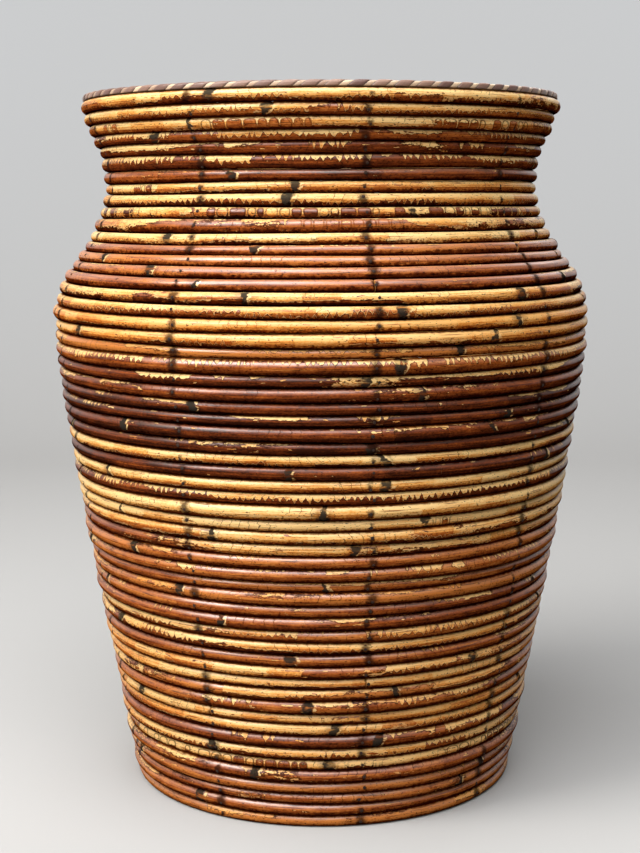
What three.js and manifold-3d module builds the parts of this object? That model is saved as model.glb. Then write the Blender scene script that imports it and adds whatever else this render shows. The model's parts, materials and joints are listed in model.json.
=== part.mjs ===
// Reed floor vase: a notched base board, bent ribs, hoops, a wall of wound reed and a bound rim.
// Millimetres, +Z up, origin at the middle of the foot. Azimuth 0 is the front, -Y, and 90 degrees is +X.
import * as THREE from 'three';
import { mergeVertices } from 'three/addons/utils/BufferGeometryUtils.js';
import Module from 'manifold-3d';

const wasm = await Module();
wasm.setup();

// Wall: centre line of the reeds, as radii, a height and drops from it, with the pulls that round its curves
const FOOT_RADIUS = 134;
const FOOT_FLARE = 13.6;
const FOOT_RISE = 74;
const BELLY_RADIUS = 187.5;
const BELLY_LOWER_PULL = 42;
const BELLY_UPPER_PULL = 48;
const NECK_RADIUS = 149.5;
const NECK_LOWER_PULL = 60;
const NECK_UPPER_PULL = 15;
const MOUTH_RADIUS = 165.3;
const MOUTH_PULL = 17.5;
const WALL_HEIGHT = 486.5;
const NECK_DROP = 49.5;
const SHOULDER_DROP = 106;

// Reeds: pencil reed in level courses, which climb one course at the back of each turn
const REED_DIAMETER = 8;
const REED_GAP = 0.45;
const REED_TIP = 2.4;
const REED_SIDES = 4;
const JOINT_GAP = 0.6;
const REED_COUNT = 19;
const CLIMB_STEPS = 4;

// Frame inside the reeds
const RIB_COUNT = 9;
const RIB_AZIMUTH = THREE.MathUtils.degToRad(10.4);
const RIB_WIDTH = 14;
const RIB_THICKNESS = 6;
const BASE_THICKNESS = 12;
const HOOP_DIAMETER = 8;
const HOOP_SIDES = 6;
const HOOP_NOTCH = 3;
const WAIST_HOOP_HEIGHT = 150;
const MOUTH_HOOP_DROP = 20;

// Rim: a flat core on the rib tops, bound with peel
const RIM_OVERHANG = 2;
const RIM_CORE_WIDTH = 13;
const RIM_CORE_HEIGHT = 2.2;
const PEEL_THICKNESS = 0.8;

// Nails
const NAIL_DIAMETER = 1.8;
const NAIL_SIDES = 8;
const NAIL_SINK = 0.5;
const FOOT_NAIL_LENGTH = 25;
const RIM_NAIL_BITE = 8;

// Clearances between pieces that touch
const FIT = 0.3;
const REED_SEAT = 0.5;

// Facets: steps of the round pieces between two ribs, and of a rib along each curve of the wall
const STEPS_PER_BAY = 2;
const RIM_STEPS_PER_BAY = 4;
const BOARD_ARC_STEPS = 4;
const RIB_STEPS = [6, 10, 9];

// Tolerances of the arithmetic
const SAME_POINT = 1e-4;
const SAME_TURN = 1e-6;
const HALVINGS = 40;

const TURN = 2 * Math.PI;
const BAY = TURN / RIB_COUNT;
const STEP = BAY / STEPS_PER_BAY;
const REED_RADIUS = REED_DIAMETER / 2;
const RIB_OUTER = REED_RADIUS + REED_SEAT;
const RIB_INNER = RIB_OUTER + RIB_THICKNESS;
const NECK_HEIGHT = WALL_HEIGHT - NECK_DROP;
const BELLY_HEIGHT = NECK_HEIGHT - SHOULDER_DROP;

const COLOURS = { board: 0x8a6a44, slat: 0x94703f, rod: 0x9c7442, peel: 0xa97a55, iron: 0x3b3836 };
const STAINS = { straw: 0xd8a55a, honey: 0xb06a2a, chestnut: 0x7d3f1e, umber: 0x4a2415 };
const REED_STAINS = [
  'chestnut', 'honey', 'honey', 'straw', 'honey', 'chestnut', 'chestnut', 'chestnut', 'straw', 'honey',
  'umber', 'umber', 'honey', 'straw', 'chestnut', 'straw', 'straw', 'umber', 'honey',
];

const vase = new THREE.Group();

function addPiece(name, geometry, color, roughness = 0.6, metalness = 0) {
  const material = new THREE.MeshStandardMaterial({ color, roughness, metalness });
  const mesh = new THREE.Mesh(geometry, material);
  mesh.name = name;
  vase.add(mesh);
  return mesh;
}

// Wall profile

function wallProfile() {
  const foot = new THREE.Vector2(FOOT_RADIUS, 0);
  const belly = new THREE.Vector2(BELLY_RADIUS, BELLY_HEIGHT);
  const neck = new THREE.Vector2(NECK_RADIUS, NECK_HEIGHT);
  const mouth = new THREE.Vector2(MOUTH_RADIUS, WALL_HEIGHT);
  const moved = (point, out, up) => new THREE.Vector2(point.x + out, point.y + up);
  const profile = new THREE.CurvePath();
  profile.add(new THREE.CubicBezierCurve(
    foot, moved(foot, FOOT_FLARE, FOOT_RISE), moved(belly, 0, -BELLY_LOWER_PULL), belly));
  profile.add(new THREE.CubicBezierCurve(
    belly, moved(belly, 0, BELLY_UPPER_PULL), moved(neck, 0, -NECK_LOWER_PULL), neck));
  profile.add(new THREE.CubicBezierCurve(
    neck, moved(neck, 0, NECK_UPPER_PULL), moved(mouth, 0, -MOUTH_PULL), mouth));
  return profile;
}

const profile = wallProfile();
const WALL_LENGTH = profile.getLength();
const COURSES = Math.floor(WALL_LENGTH / (REED_DIAMETER + REED_GAP));
const PITCH = WALL_LENGTH / COURSES;

// Point of the wall at a share of its length, moved outwards and along the wall in its own directions
function wallPoint(share, outwards = 0, along = 0) {
  const point = profile.getPoint(share);
  const tangent = profile.getTangent(share);
  return new THREE.Vector2(
    point.x + outwards * tangent.y + along * tangent.x,
    point.y - outwards * tangent.x + along * tangent.y);
}

// Radius at a height of the surface that lies a depth inside the wall's centre line
function radiusAt(height, depth) {
  let low = 0;
  let high = 1;
  for (let halving = 0; halving < HALVINGS; halving += 1) {
    const middle = (low + high) / 2;
    if (wallPoint(middle, -depth).y < height) low = middle;
    else high = middle;
  }
  return wallPoint(low, -depth).x;
}

// Round pieces have flat facets centred on ribs, as far inside the true circle there as outside at corners
const FLAT = Math.sqrt(Math.cos(STEP / 2));

function facetScale(azimuth) {
  const steps = (azimuth - RIB_AZIMUTH) / STEP;
  return FLAT / Math.cos((steps - Math.round(steps)) * STEP);
}

function place(radius, azimuth, height) {
  return new THREE.Vector3(radius * Math.sin(azimuth), -radius * Math.cos(azimuth), height);
}

// Closed ring of a section that is given as radii and heights, counter-clockwise
function ringGeometry(section, stepsPerBay) {
  const segments = stepsPerBay * RIB_COUNT;
  const half = Math.PI / segments;
  const corner = 1 / Math.sqrt(Math.cos(half));
  const points = section.map((point) => new THREE.Vector2(point.x * corner, point.y));
  points.push(points[0].clone());
  const geometry = new THREE.LatheGeometry(points, segments, RIB_AZIMUTH + half, TURN);
  return geometry.rotateX(Math.PI / 2);
}

// Cuts with closed solids

function toManifold(geometry) {
  const bare = geometry.clone();
  bare.deleteAttribute('normal');
  bare.deleteAttribute('uv');
  const merged = mergeVertices(bare, SAME_POINT);
  return new wasm.Manifold(new wasm.Mesh({
    numProp: 3,
    vertProperties: new Float32Array(merged.attributes.position.array),
    triVerts: new Uint32Array(merged.index.array),
  }));
}

function cutAway(geometry, cutters) {
  let solid = toManifold(geometry);
  for (const cutter of cutters) solid = solid.subtract(toManifold(cutter));
  const mesh = solid.getMesh();
  const result = new THREE.BufferGeometry();
  result.setAttribute('position', new THREE.BufferAttribute(mesh.vertProperties, mesh.numProp));
  result.setIndex(new THREE.BufferAttribute(mesh.triVerts, 1));
  return result;
}

// Nails and their holes, in a rib's own plane: x outwards, z up

function nailGeometry(diameter, from, to) {
  const geometry = new THREE.CylinderGeometry(diameter / 2, diameter / 2, from.distanceTo(to), NAIL_SIDES);
  const turn = new THREE.Quaternion().setFromUnitVectors(
    new THREE.Vector3(0, 1, 0), to.clone().sub(from).normalize());
  geometry.applyQuaternion(turn);
  const middle = from.clone().add(to).multiplyScalar(0.5);
  return geometry.translate(middle.x, middle.y, middle.z);
}

const footNailHeight = BASE_THICKNESS / 2;
const footNailOuter = FLAT * radiusAt(footNailHeight, RIB_OUTER) - NAIL_SINK;
const footNail = {
  from: new THREE.Vector3(footNailOuter - FOOT_NAIL_LENGTH, 0, footNailHeight),
  to: new THREE.Vector3(footNailOuter, 0, footNailHeight),
};
const rimNailRadius = FLAT * (MOUTH_RADIUS - (RIB_OUTER + RIB_INNER) / 2);
const rimCoreBottom = WALL_HEIGHT + FIT;
const rimCoreTop = rimCoreBottom + RIM_CORE_HEIGHT;
const rimNail = {
  from: new THREE.Vector3(rimNailRadius, 0, WALL_HEIGHT - RIM_NAIL_BITE),
  to: new THREE.Vector3(rimNailRadius, 0, rimCoreTop - NAIL_SINK),
};

// Hole for a nail: a clearance wider and deeper, and open past the nail's outer end
function nailHole(nail) {
  const along = nail.to.clone().sub(nail.from).normalize();
  const from = nail.from.clone().addScaledVector(along, -FIT);
  const to = nail.to.clone().addScaledVector(along, RIB_THICKNESS);
  return nailGeometry(NAIL_DIAMETER + 2 * FIT, from, to);
}

const ribTurn = (rib) => RIB_AZIMUTH + rib * BAY - Math.PI / 2;
const ribs = Array.from({ length: RIB_COUNT }, (_, rib) => rib);

// Base board: a disc inside the lowest reeds, with a notch for each rib foot

function boardGeometry() {
  const radius = FLAT * (FOOT_RADIUS - REED_RADIUS) - FIT;
  const notch = FLAT * wallPoint(0, -RIB_INNER).x - FIT;
  const half = RIB_WIDTH / 2 + FIT;
  const edge = Math.asin(half / radius);
  const shape = new THREE.Shape();
  for (const rib of ribs) {
    const turn = ribTurn(rib);
    const corner = (out, aside) => [
      out * Math.cos(turn) - aside * Math.sin(turn),
      out * Math.sin(turn) + aside * Math.cos(turn),
    ];
    const rim = radius * Math.cos(edge);
    if (rib === 0) shape.moveTo(...corner(rim, -half));
    shape.lineTo(...corner(notch, -half));
    shape.lineTo(...corner(notch, half));
    shape.lineTo(...corner(rim, half));
    shape.absarc(0, 0, radius, turn + edge, turn + BAY - edge, false);
  }
  const options = { depth: BASE_THICKNESS, bevelEnabled: false, curveSegments: BOARD_ARC_STEPS };
  return new THREE.ExtrudeGeometry(shape, options);
}

const board = boardGeometry();
const boardHoles = ribs.map((rib) => nailHole(footNail).rotateZ(ribTurn(rib)));
addPiece('base_board', cutAway(board, boardHoles), COLOURS.board, 0.8);

// Hoops: rings of round rod, seated in notches of the ribs' inner faces

const hoops = [
  { name: 'waist_hoop', height: WAIST_HOOP_HEIGHT },
  { name: 'belly_hoop', height: BELLY_HEIGHT },
  { name: 'mouth_hoop', height: WALL_HEIGHT - MOUTH_HOOP_DROP },
];
for (const hoop of hoops) hoop.seat = radiusAt(hoop.height, RIB_INNER) + HOOP_NOTCH;

for (const hoop of hoops) {
  const radius = HOOP_DIAMETER / 2;
  const section = [];
  for (let side = 0; side < HOOP_SIDES; side += 1) {
    const angle = TURN * side / HOOP_SIDES;
    section.push(new THREE.Vector2(
      hoop.seat - FIT - radius + radius * Math.cos(angle), hoop.height + radius * Math.sin(angle)));
  }
  addPiece(hoop.name, ringGeometry(section, STEPS_PER_BAY), COLOURS.rod, 0.7);
}

// Ribs: flat slats bent to the wall, notched inside for the hoops

function ribShares() {
  const lengths = profile.getCurveLengths();
  const shares = [0];
  RIB_STEPS.forEach((steps, curve) => {
    const start = curve ? lengths[curve - 1] : 0;
    for (let step = 1; step <= steps; step += 1) {
      shares.push((start + (lengths[curve] - start) * step / steps) / WALL_LENGTH);
    }
  });
  return shares;
}

function ribOutline() {
  const shares = ribShares();
  const outer = shares.map((share) => wallPoint(share, -RIB_OUTER));
  let inner = shares.map((share) => wallPoint(share, -RIB_INNER));
  for (const hoop of hoops) {
    const low = hoop.height - HOOP_DIAMETER / 2 - FIT;
    const high = hoop.height + HOOP_DIAMETER / 2 + FIT;
    const notch = [
      new THREE.Vector2(radiusAt(low, RIB_INNER), low),
      new THREE.Vector2(hoop.seat, low),
      new THREE.Vector2(hoop.seat, high),
      new THREE.Vector2(radiusAt(high, RIB_INNER), high),
    ];
    const below = inner.filter((point) => point.y < low - FIT);
    const above = inner.filter((point) => point.y > high + FIT);
    inner = [...below, ...notch, ...above];
  }
  const outline = [...outer, ...inner.reverse()];
  return outline.map((point) => new THREE.Vector2(FLAT * point.x, point.y));
}

const ribShape = new THREE.Shape(ribOutline());
const ribBlank = new THREE.ExtrudeGeometry(ribShape, { depth: RIB_WIDTH, bevelEnabled: false });
ribBlank.translate(0, 0, -RIB_WIDTH / 2).rotateX(Math.PI / 2);
const ribSolid = cutAway(ribBlank, [nailHole(footNail), nailHole(rimNail)]);

for (const rib of ribs) {
  const number = rib + 1;
  addPiece(`rib_${number}`, ribSolid, COLOURS.slat, 0.75).rotation.z = ribTurn(rib);
  const foot = nailGeometry(NAIL_DIAMETER, footNail.from, footNail.to);
  addPiece(`foot_nail_${number}`, foot, COLOURS.iron, 0.5, 0.9).rotation.z = ribTurn(rib);
  const top = nailGeometry(NAIL_DIAMETER, rimNail.from, rimNail.to);
  addPiece(`rim_nail_${number}`, top, COLOURS.iron, 0.5, 0.9).rotation.z = ribTurn(rib);
}

// Reeds: one winding of level courses, cut into lengths whose ends meet on a rib

const CLIMB = CLIMB_STEPS * STEP / TURN;
const startBays = Math.round((Math.PI - RIB_AZIMUTH + CLIMB_STEPS * STEP / 2) / BAY);
const windingStart = RIB_AZIMUTH + STEP / 2 + startBays * BAY;

// Courses climbed after a number of turns: level, then one course up in the last part of each turn
function climbed(turns) {
  const whole = Math.floor(turns);
  return whole + Math.max(0, turns - whole - (1 - CLIMB)) / CLIMB;
}

// Section ring of the winding. Its first and last ends thin out under and over the climbing courses.
function reedRing(turns) {
  const bottom = turns < 0 ? 0 : climbed(turns);
  const top = turns > COURSES - CLIMB ? COURSES : climbed(turns + 1);
  const radius = REED_RADIUS - (1 - (top - bottom)) * PITCH / 2;
  const share = (bottom + top) / 2 / COURSES;
  const azimuth = windingStart + turns * TURN;
  const ring = [];
  for (let side = 0; side < REED_SIDES; side += 1) {
    const angle = TURN * side / REED_SIDES;
    const point = wallPoint(share, radius * Math.cos(angle), radius * Math.sin(angle));
    ring.push(place(point.x * facetScale(azimuth), azimuth, point.y));
  }
  return ring;
}

// Tube with capped ends through a list of section rings
function tubeGeometry(rings) {
  const sides = rings[0].length;
  const last = (rings.length - 1) * sides;
  const index = [];
  for (let ring = 0; ring + 1 < rings.length; ring += 1) {
    for (let side = 0; side < sides; side += 1) {
      const next = (side + 1) % sides;
      const [a, b] = [ring * sides + side, ring * sides + next];
      index.push(a, a + sides, b, b, a + sides, b + sides);
    }
  }
  for (let side = 1; side + 1 < sides; side += 1) {
    index.push(0, side, side + 1, last, last + side + 1, last + side);
  }
  const geometry = new THREE.BufferGeometry().setFromPoints(rings.flat());
  return geometry.setIndex(index);
}

// Least distance between points of a reed that lie more than half a turn apart along it
function leastGap(rings) {
  const apart = Math.ceil(RIB_COUNT * STEPS_PER_BAY / 2);
  let least = Infinity;
  for (let a = 0; a < rings.length; a += 1) {
    for (let b = a + apart; b < rings.length; b += 1) {
      for (const p of rings[a]) for (const q of rings[b]) least = Math.min(least, p.distanceTo(q));
    }
  }
  return least;
}

function reedRings(start, end) {
  const turns = [start];
  const stepTurns = STEP / TURN;
  for (let step = Math.floor(start / stepTurns) + 1; step * stepTurns < end - SAME_TURN; step += 1) {
    if (step * stepTurns > start + SAME_TURN) turns.push(step * stepTurns);
  }
  turns.push(end);
  return turns.map(reedRing);
}

const tipTurns = CLIMB * (REED_DIAMETER - REED_TIP) / PITCH;
const firstTurns = -tipTurns;
const lastTurns = COURSES - CLIMB + tipTurns;
const bays = COURSES * RIB_COUNT;
const jointTurns = (joint) => (Math.round(joint * bays / REED_COUNT) * BAY - STEP / 2) / TURN;
const halfGap = JOINT_GAP / 2 / NECK_RADIUS / TURN;

for (let reed = 0; reed < REED_COUNT; reed += 1) {
  const start = reed ? jointTurns(reed) + halfGap : firstTurns;
  const end = reed + 1 < REED_COUNT ? jointTurns(reed + 1) - halfGap : lastTurns;
  const rings = reedRings(start, end);
  const name = `reed_${String(reed + 1).padStart(2, '0')}`;
  console.log(`${name}: least gap to itself ${leastGap(rings).toFixed(2)} mm`);
  addPiece(name, tubeGeometry(rings), STAINS[REED_STAINS[reed % REED_STAINS.length]], 0.45);
}

// Rim: the core ring on the rib tops and the peel bound over it, open below

const rimOuter = MOUTH_RADIUS + RIM_OVERHANG;
const coreOuter = rimOuter - PEEL_THICKNESS - FIT;
const coreInner = coreOuter - RIM_CORE_WIDTH;
const rimInner = coreInner - FIT - PEEL_THICKNESS;
const rimTop = rimCoreTop + FIT + PEEL_THICKNESS;
const section = (...pairs) => pairs.map(([radius, height]) => new THREE.Vector2(radius, height));

const core = ringGeometry(section(
  [coreInner, rimCoreBottom], [coreOuter, rimCoreBottom],
  [coreOuter, rimCoreTop], [coreInner, rimCoreTop]), RIM_STEPS_PER_BAY);
const coreHoles = ribs.map((rib) => nailHole(rimNail).rotateZ(ribTurn(rib)));
addPiece('rim_core', cutAway(core, coreHoles), COLOURS.rod, 0.7);

addPiece('rim_binding', ringGeometry(section(
  [rimOuter - PEEL_THICKNESS, rimCoreBottom], [rimOuter, rimCoreBottom],
  [rimOuter, rimTop], [rimInner, rimTop], [rimInner, rimCoreBottom],
  [rimInner + PEEL_THICKNESS, rimCoreBottom], [rimInner + PEEL_THICKNESS, rimCoreTop + FIT],
  [rimOuter - PEEL_THICKNESS, rimCoreTop + FIT]), RIM_STEPS_PER_BAY), COLOURS.peel, 0.5);

export default vase;
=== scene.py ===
"""Dresses the reed floor vase: wound reeds, brads, the bound rim, and the ribs, hoops and board inside."""
import functools
import json
import math
from types import SimpleNamespace

import bpy
import numpy as np
from bpy.props import FloatProperty, FloatVectorProperty, IntProperty, PointerProperty
from mathutils import Matrix, Vector


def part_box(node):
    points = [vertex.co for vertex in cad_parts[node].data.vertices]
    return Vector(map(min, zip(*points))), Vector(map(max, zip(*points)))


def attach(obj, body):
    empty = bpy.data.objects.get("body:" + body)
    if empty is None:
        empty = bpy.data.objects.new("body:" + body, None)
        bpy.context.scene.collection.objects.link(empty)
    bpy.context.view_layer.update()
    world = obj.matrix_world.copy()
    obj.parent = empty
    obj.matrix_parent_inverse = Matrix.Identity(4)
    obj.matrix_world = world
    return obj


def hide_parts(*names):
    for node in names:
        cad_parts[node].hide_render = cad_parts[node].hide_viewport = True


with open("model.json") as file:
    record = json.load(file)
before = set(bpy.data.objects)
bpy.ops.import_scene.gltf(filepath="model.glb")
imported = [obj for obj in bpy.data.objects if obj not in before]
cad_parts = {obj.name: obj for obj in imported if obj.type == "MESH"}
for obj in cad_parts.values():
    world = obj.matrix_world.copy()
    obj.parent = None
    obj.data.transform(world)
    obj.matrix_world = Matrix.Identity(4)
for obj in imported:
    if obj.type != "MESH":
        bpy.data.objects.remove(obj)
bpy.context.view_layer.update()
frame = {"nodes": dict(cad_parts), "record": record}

bl_info = {
    "name": "Reed Floor Vase",
    "version": (1, 0, 0),
    "blender": (4, 5, 0),
    "location": "View3D > Sidebar > Vase",
    "description": "Builds the looks of a floor vase of wound reed around its packed solids",
    "category": "Object",
}

BODY = "root"
TURN = 2 * math.pi
MM_PER_M = 1000.0
RIM_LOW, RIM_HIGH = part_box("rim_binding")

# Fineness of the meshes
PROFILE_SAMPLES = 1500
RIB_RINGS = 110
HOOP_RINGS = 360
HOOP_SIDES = 14
BRAD_SIDES = 10
BOARD_ARC_POINTS = 25
RIM_ARC_POINTS = 6
RIM_TOP_POINTS = 9
FLOOR_ARC_POINTS = 17

# Maps of long strips are cut into rows that fill one square, with margins as shares of a row and a square
REED_MAP_ROWS = 12
RIM_MAP_ROWS = 4
ROW_MARGIN = 0.04
SIDE_MARGIN = 0.004
CAP_CORNERS = ((0.0, 0.0), (0.002, 0.0), (0.002, 0.002))

# Distances in metres between like pieces on their maps, so that each has a pattern of its own
REED_MAP_GAP = 1.0
RIB_MAP_GAP = 1.7
HOOP_MAP_GAP = 3.0

# Waves round the wall, as waves in a round and their heights: of the lines between courses, in courses, and
# of how far a course stands out of line. Then the spread of how far whole courses stand out, and the share of
# a course's extra thickness that shows on its outer side
LINE_WAVES = ((1, 0.04), (2, 0.03), (5, 0.02))
OUT_WAVES = ((1, 0.45), (3, 0.35), (7, 0.25))
OUT_SPREAD = 0.5
THICK_OUTWARD = 0.6

# Growth rings and ends of a reed: widths in metres, and depths as shares of the swelling or of the thickness.
# Rings of the mesh that would lie within END_MARGIN of a step from an end are left out
COLLAR_WIDTH = 0.0022
NECK_PLACE = 0.0034
NECK_WIDTH = 0.0012
NECK_DEPTH = 0.45
END_WIDTH = 0.0009
END_DEPTH = 0.10
END_MARGIN = 0.25
WAVER_LEVEL = 0.996
WAVER_DEPTH = 0.006
WAVER_LENGTHS = (0.031, 0.083)
REED_GIRTH_MM = 25.0

# Chance in brads, strips, ribs and hoops
STRAY_STEP = 12.9898
STRAY_GAIN = 43758.5453
BRAD_TILT = 0.22
BRAD_SIZES = (0.8, 1.15)
STRIP_SPREAD = 0.025
STRIP_LIFTS = (0.8, 1.1)
RIB_WAVES = ((0.07, 0.03), (0.023, 0.02))
HOOP_LEVEL = 0.97
HOOP_SWELL = 0.03
HOOP_WAVER = 0.015
HOOP_WAVES = (5, 8)
HOOP_COLLARS = 5
HOOP_COLLAR_WIDTH = 0.004
NOTCH_EDGE = 0.0004

# Courses from the rim down: share of the skin worn off, darkness of its stain, and how it flakes, which is
# along teeth above 0 and in cells below 0
COURSE_TRAITS = (
    (0.58, 0.46, 0.4), (0.52, 0.36, 0.9), (0.74, 0.42, -0.8), (0.18, 0.54, 0.6), (0.26, 0.78, 0.2),
    (0.18, 0.76, 0.6), (0.06, 0.58, 0.0), (0.76, 0.38, 0.0), (0.80, 0.74, 1.0), (0.84, 0.70, -1.0),
    (0.46, 0.36, -0.6), (0.95, 0.40, 0.0), (0.12, 0.34, 0.4), (0.08, 0.26, 0.0), (0.03, 0.28, 0.0),
    (0.10, 0.40, 0.1), (0.62, 0.60, 0.0), (0.74, 0.40, 0.9), (0.84, 0.18, 0.0), (0.86, 0.24, 0.0),
    (0.24, 0.02, 0.3), (0.15, 0.46, 0.8), (0.28, 0.90, 0.3), (0.14, 0.70, 0.0), (0.02, 0.88, 0.0),
    (0.02, 0.92, 0.0), (0.03, 0.86, 0.0), (0.14, 0.92, 0.0), (0.74, 0.62, 0.3), (0.01, 0.97, 0.0),
    (0.88, 0.42, 0.0), (0.24, 0.76, 0.9), (0.90, 0.48, 0.0), (0.97, 0.40, 0.0), (0.58, 0.54, 0.3),
    (0.54, 0.48, 0.0), (0.05, 0.28, 0.0), (0.08, 0.34, 0.3), (0.10, 0.40, 0.0), (0.16, 0.22, 0.0),
    (0.08, 0.46, 0.0), (0.09, 0.58, 0.3), (0.24, 0.36, 0.7), (0.44, 0.62, 0.4), (0.04, 0.46, 0.0),
    (0.56, 0.38, 0.0), (0.66, 0.38, 0.0), (0.40, 0.34, 0.0), (0.30, 0.48, 0.0), (0.70, 0.42, 0.0),
    (0.58, 0.46, 0.8), (0.16, 0.58, 0.2), (0.48, 0.54, 0.8), (0.90, 0.52, -1.0), (0.24, 0.38, -0.5),
    (0.06, 0.26, 0.0), (0.28, 0.38, -0.6), (0.10, 0.36, 0.0), (0.20, 0.20, 0.0),
)

# Section of the rim's strips: share across the strip, and relief as a share of the full relief
BROWN_STRIP = ((0.0, -0.1), (0.03, 0.62), (0.10, 0.82), (0.30, 0.98), (0.55, 1.0), (0.80, 0.86), (0.95, 0.60))
CREAM_STRIP = ((0.0, -0.1), (0.06, 0.08), (0.25, 0.18), (0.55, 0.22), (0.80, 0.18), (0.95, 0.08))

# Section of a rib: distance aside in half widths, and depth as a share of the thickness
RIB_SECTION = (
    (-0.94, 0.02), (-0.40, 0.0), (0.40, 0.0), (0.94, 0.02), (1.0, 0.12), (1.0, 0.50), (0.88, 0.73),
    (0.55, 0.91), (0.0, 1.0), (-0.55, 0.91), (-0.88, 0.73), (-1.0, 0.50), (-1.0, 0.12),
)

# Domed head of a brad: shares of its radius and height
BRAD_DOME = ((0.95, -0.9), (1.0, 0.15), (0.85, 0.62), (0.50, 0.92))

# Lamps: name, watts, width and height, place, height of the point on the axis that they face, and tint
LAMPS = (
    ("window_left", 44.0, (1.2, 1.2), (-1.8, -1.0, 2.0), 0.25, (1.0, 0.96, 0.90)),
    ("sky_front", 40.0, (4.0, 2.4), (-1.3, -2.0, 1.4), 0.25, (1.0, 0.97, 0.95)),
    ("sky_above", 74.0, (2.4, 1.8), (-0.35, -0.85, 2.2), 0.3, (0.97, 0.98, 1.0)),
    ("sky_back", 23.0, (2.4, 1.6), (0.4, 2.0, 1.9), 0.25, (0.97, 0.98, 1.0)),
    ("fill_right", 5.0, (1.2, 1.2), (1.3, -1.5, 1.8), 0.2, (1.0, 0.92, 0.82)),
)


# Settings

def length(name, description, default):
    return FloatProperty(
        name=name, description=description, default=default, subtype="DISTANCE", unit="LENGTH")


def angle(name, description, degrees):
    return FloatProperty(
        name=name, description=description, default=math.radians(degrees), subtype="ANGLE", unit="ROTATION")


def share(name, description, default):
    return FloatProperty(
        name=name, description=description, default=default, subtype="FACTOR", min=0.0, max=1.0)


def plain(name, description, default):
    return FloatProperty(name=name, description=description, default=default)


def count(name, description, default):
    return IntProperty(name=name, description=description, default=default, min=1)


def colour(name, description, default):
    return FloatVectorProperty(
        name=name, description=description, default=default, size=3, subtype="COLOR", min=0.0, max=1.0)


class VASE_PG_wall(bpy.types.PropertyGroup):
    """Centre line of the wall's reeds, as radii and heights with the pulls that round its curves"""
    foot_radius: length("Foot radius", "Radius of the wall at the floor", 0.134)
    foot_flare: length("Foot flare", "How far the wall leans out over the foot rise", 0.0136)
    foot_rise: length("Foot rise", "Height over which the foot leans out", 0.074)
    belly_radius: length("Belly radius", "Widest radius", 0.1875)
    belly_height: length("Belly height", "Height of the widest course", 0.331)
    belly_lower_pull: length("Belly lower pull", "Roundness under the belly", 0.042)
    belly_upper_pull: length("Belly upper pull", "Roundness over the belly", 0.048)
    neck_radius: length("Neck radius", "Narrowest radius above the belly", 0.1495)
    neck_height: length("Neck height", "Height of the neck", 0.437)
    neck_lower_pull: length("Neck lower pull", "Roundness under the neck", 0.060)
    neck_upper_pull: length("Neck upper pull", "Roundness over the neck", 0.015)
    mouth_radius: length("Mouth radius", "Radius at the top of the wall", 0.1653)
    mouth_pull: length("Mouth pull", "Roundness under the mouth", 0.0175)
    height: length("Wall height", "Height of the wound wall", 0.4865)


class VASE_PG_reed(bpy.types.PropertyGroup):
    """The winding and its finish"""
    courses: count("Courses", "Courses of reed in the wall", 59)
    lengths: count("Lengths", "Lengths of reed in the winding", 19)
    ribs: count("Ribs", "Ribs behind the reeds", 9)
    rib_azimuth: angle("Rib azimuth", "Direction of the first rib, from the front", 10.4)
    facets: count("Facets", "Flat facets of the solids round the wall", 18)
    climb_facets: count("Climb", "Facets over which a course climbs at the back", 4)
    steps: count("Steps", "Rings of the mesh between two ribs", 70)
    sides: count("Sides", "Sides of a reed's section", 16)
    diameter: length("Diameter", "Nominal diameter of a reed", 0.008)
    gap: length("Gap", "Gap between courses", 0.00003)
    tip: length("Tip", "Diameter of the thinned first and last ends", 0.0024)
    joint_gap: length("Joint gap", "Gap between the butted ends of two lengths", 0.0007)
    uneven: share("Uneven", "How much the courses differ in thickness", 0.075)
    proud: length("Proud", "How far a course may stand out of line", 0.0006)
    collar_near: length("Nearest collars", "Least distance between two growth rings of a reed", 0.17)
    collar_far: length("Farthest collars", "Largest distance between two growth rings of a reed", 0.60)
    collar_swell: share("Collar swell", "Swelling of a reed at a growth ring", 0.07)
    brad_stray: angle("Brad stray", "How far brads stray from the middle of a rib", 1.3)
    brad_radius: length("Brad radius", "Radius of a brad's head", 0.00105)
    brad_height: length("Brad height", "Height of a brad's domed head", 0.00035)
    seed: count("Seed", "Seed of every random choice", 11)
    straw: colour("Straw", "Pale core where the skin has flaked off", (0.75, 0.345, 0.078))
    straw_pale: colour("Pale straw", "Lightest streaks of the core", (0.88, 0.600, 0.250))
    straw_brown: colour("Brown straw", "Weathered core", (0.50, 0.160, 0.028))
    honey: colour("Honey", "Lightest stain of the skin", (0.56, 0.190, 0.040))
    chestnut: colour("Chestnut", "Middle stain of the skin", (0.33, 0.081, 0.0150))
    mahogany: colour("Mahogany", "Dark stain of the skin", (0.150, 0.032, 0.0085))
    umber: colour("Umber", "Darkest stain of the skin", (0.036, 0.0095, 0.0042))
    # Partly a dull haze and partly a painted sheen on the skin's upper side.
    bloom_and_sheen: colour("Bloom", "Dull film on the upper side of the skin", (0.58, 0.365, 0.285))
    scar: colour("Scar", "Growth rings", (0.030, 0.026, 0.020))
    soot: colour("Soot", "Stains of the brads", (0.020, 0.0085, 0.0060))
    # Tone of grime and painted shade in the grooves and on the reeds' lower sides.
    dirt_and_shade: colour("Dirt", "What dirt in the grooves leaves of a tone", (0.17, 0.065, 0.030))
    amber: colour("Amber", "What a light stain leaves of the core's tone", (0.92, 0.72, 0.52))
    # Tint that the core takes on towards the foot, warmer and darker.
    foot_tint: colour("Earth", "What dust near the foot leaves of the core's tone", (1.0, 0.82, 0.66))
    raw: colour("Raw inside", "Unfinished inner side of the reeds", (0.33, 0.185, 0.085))


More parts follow.
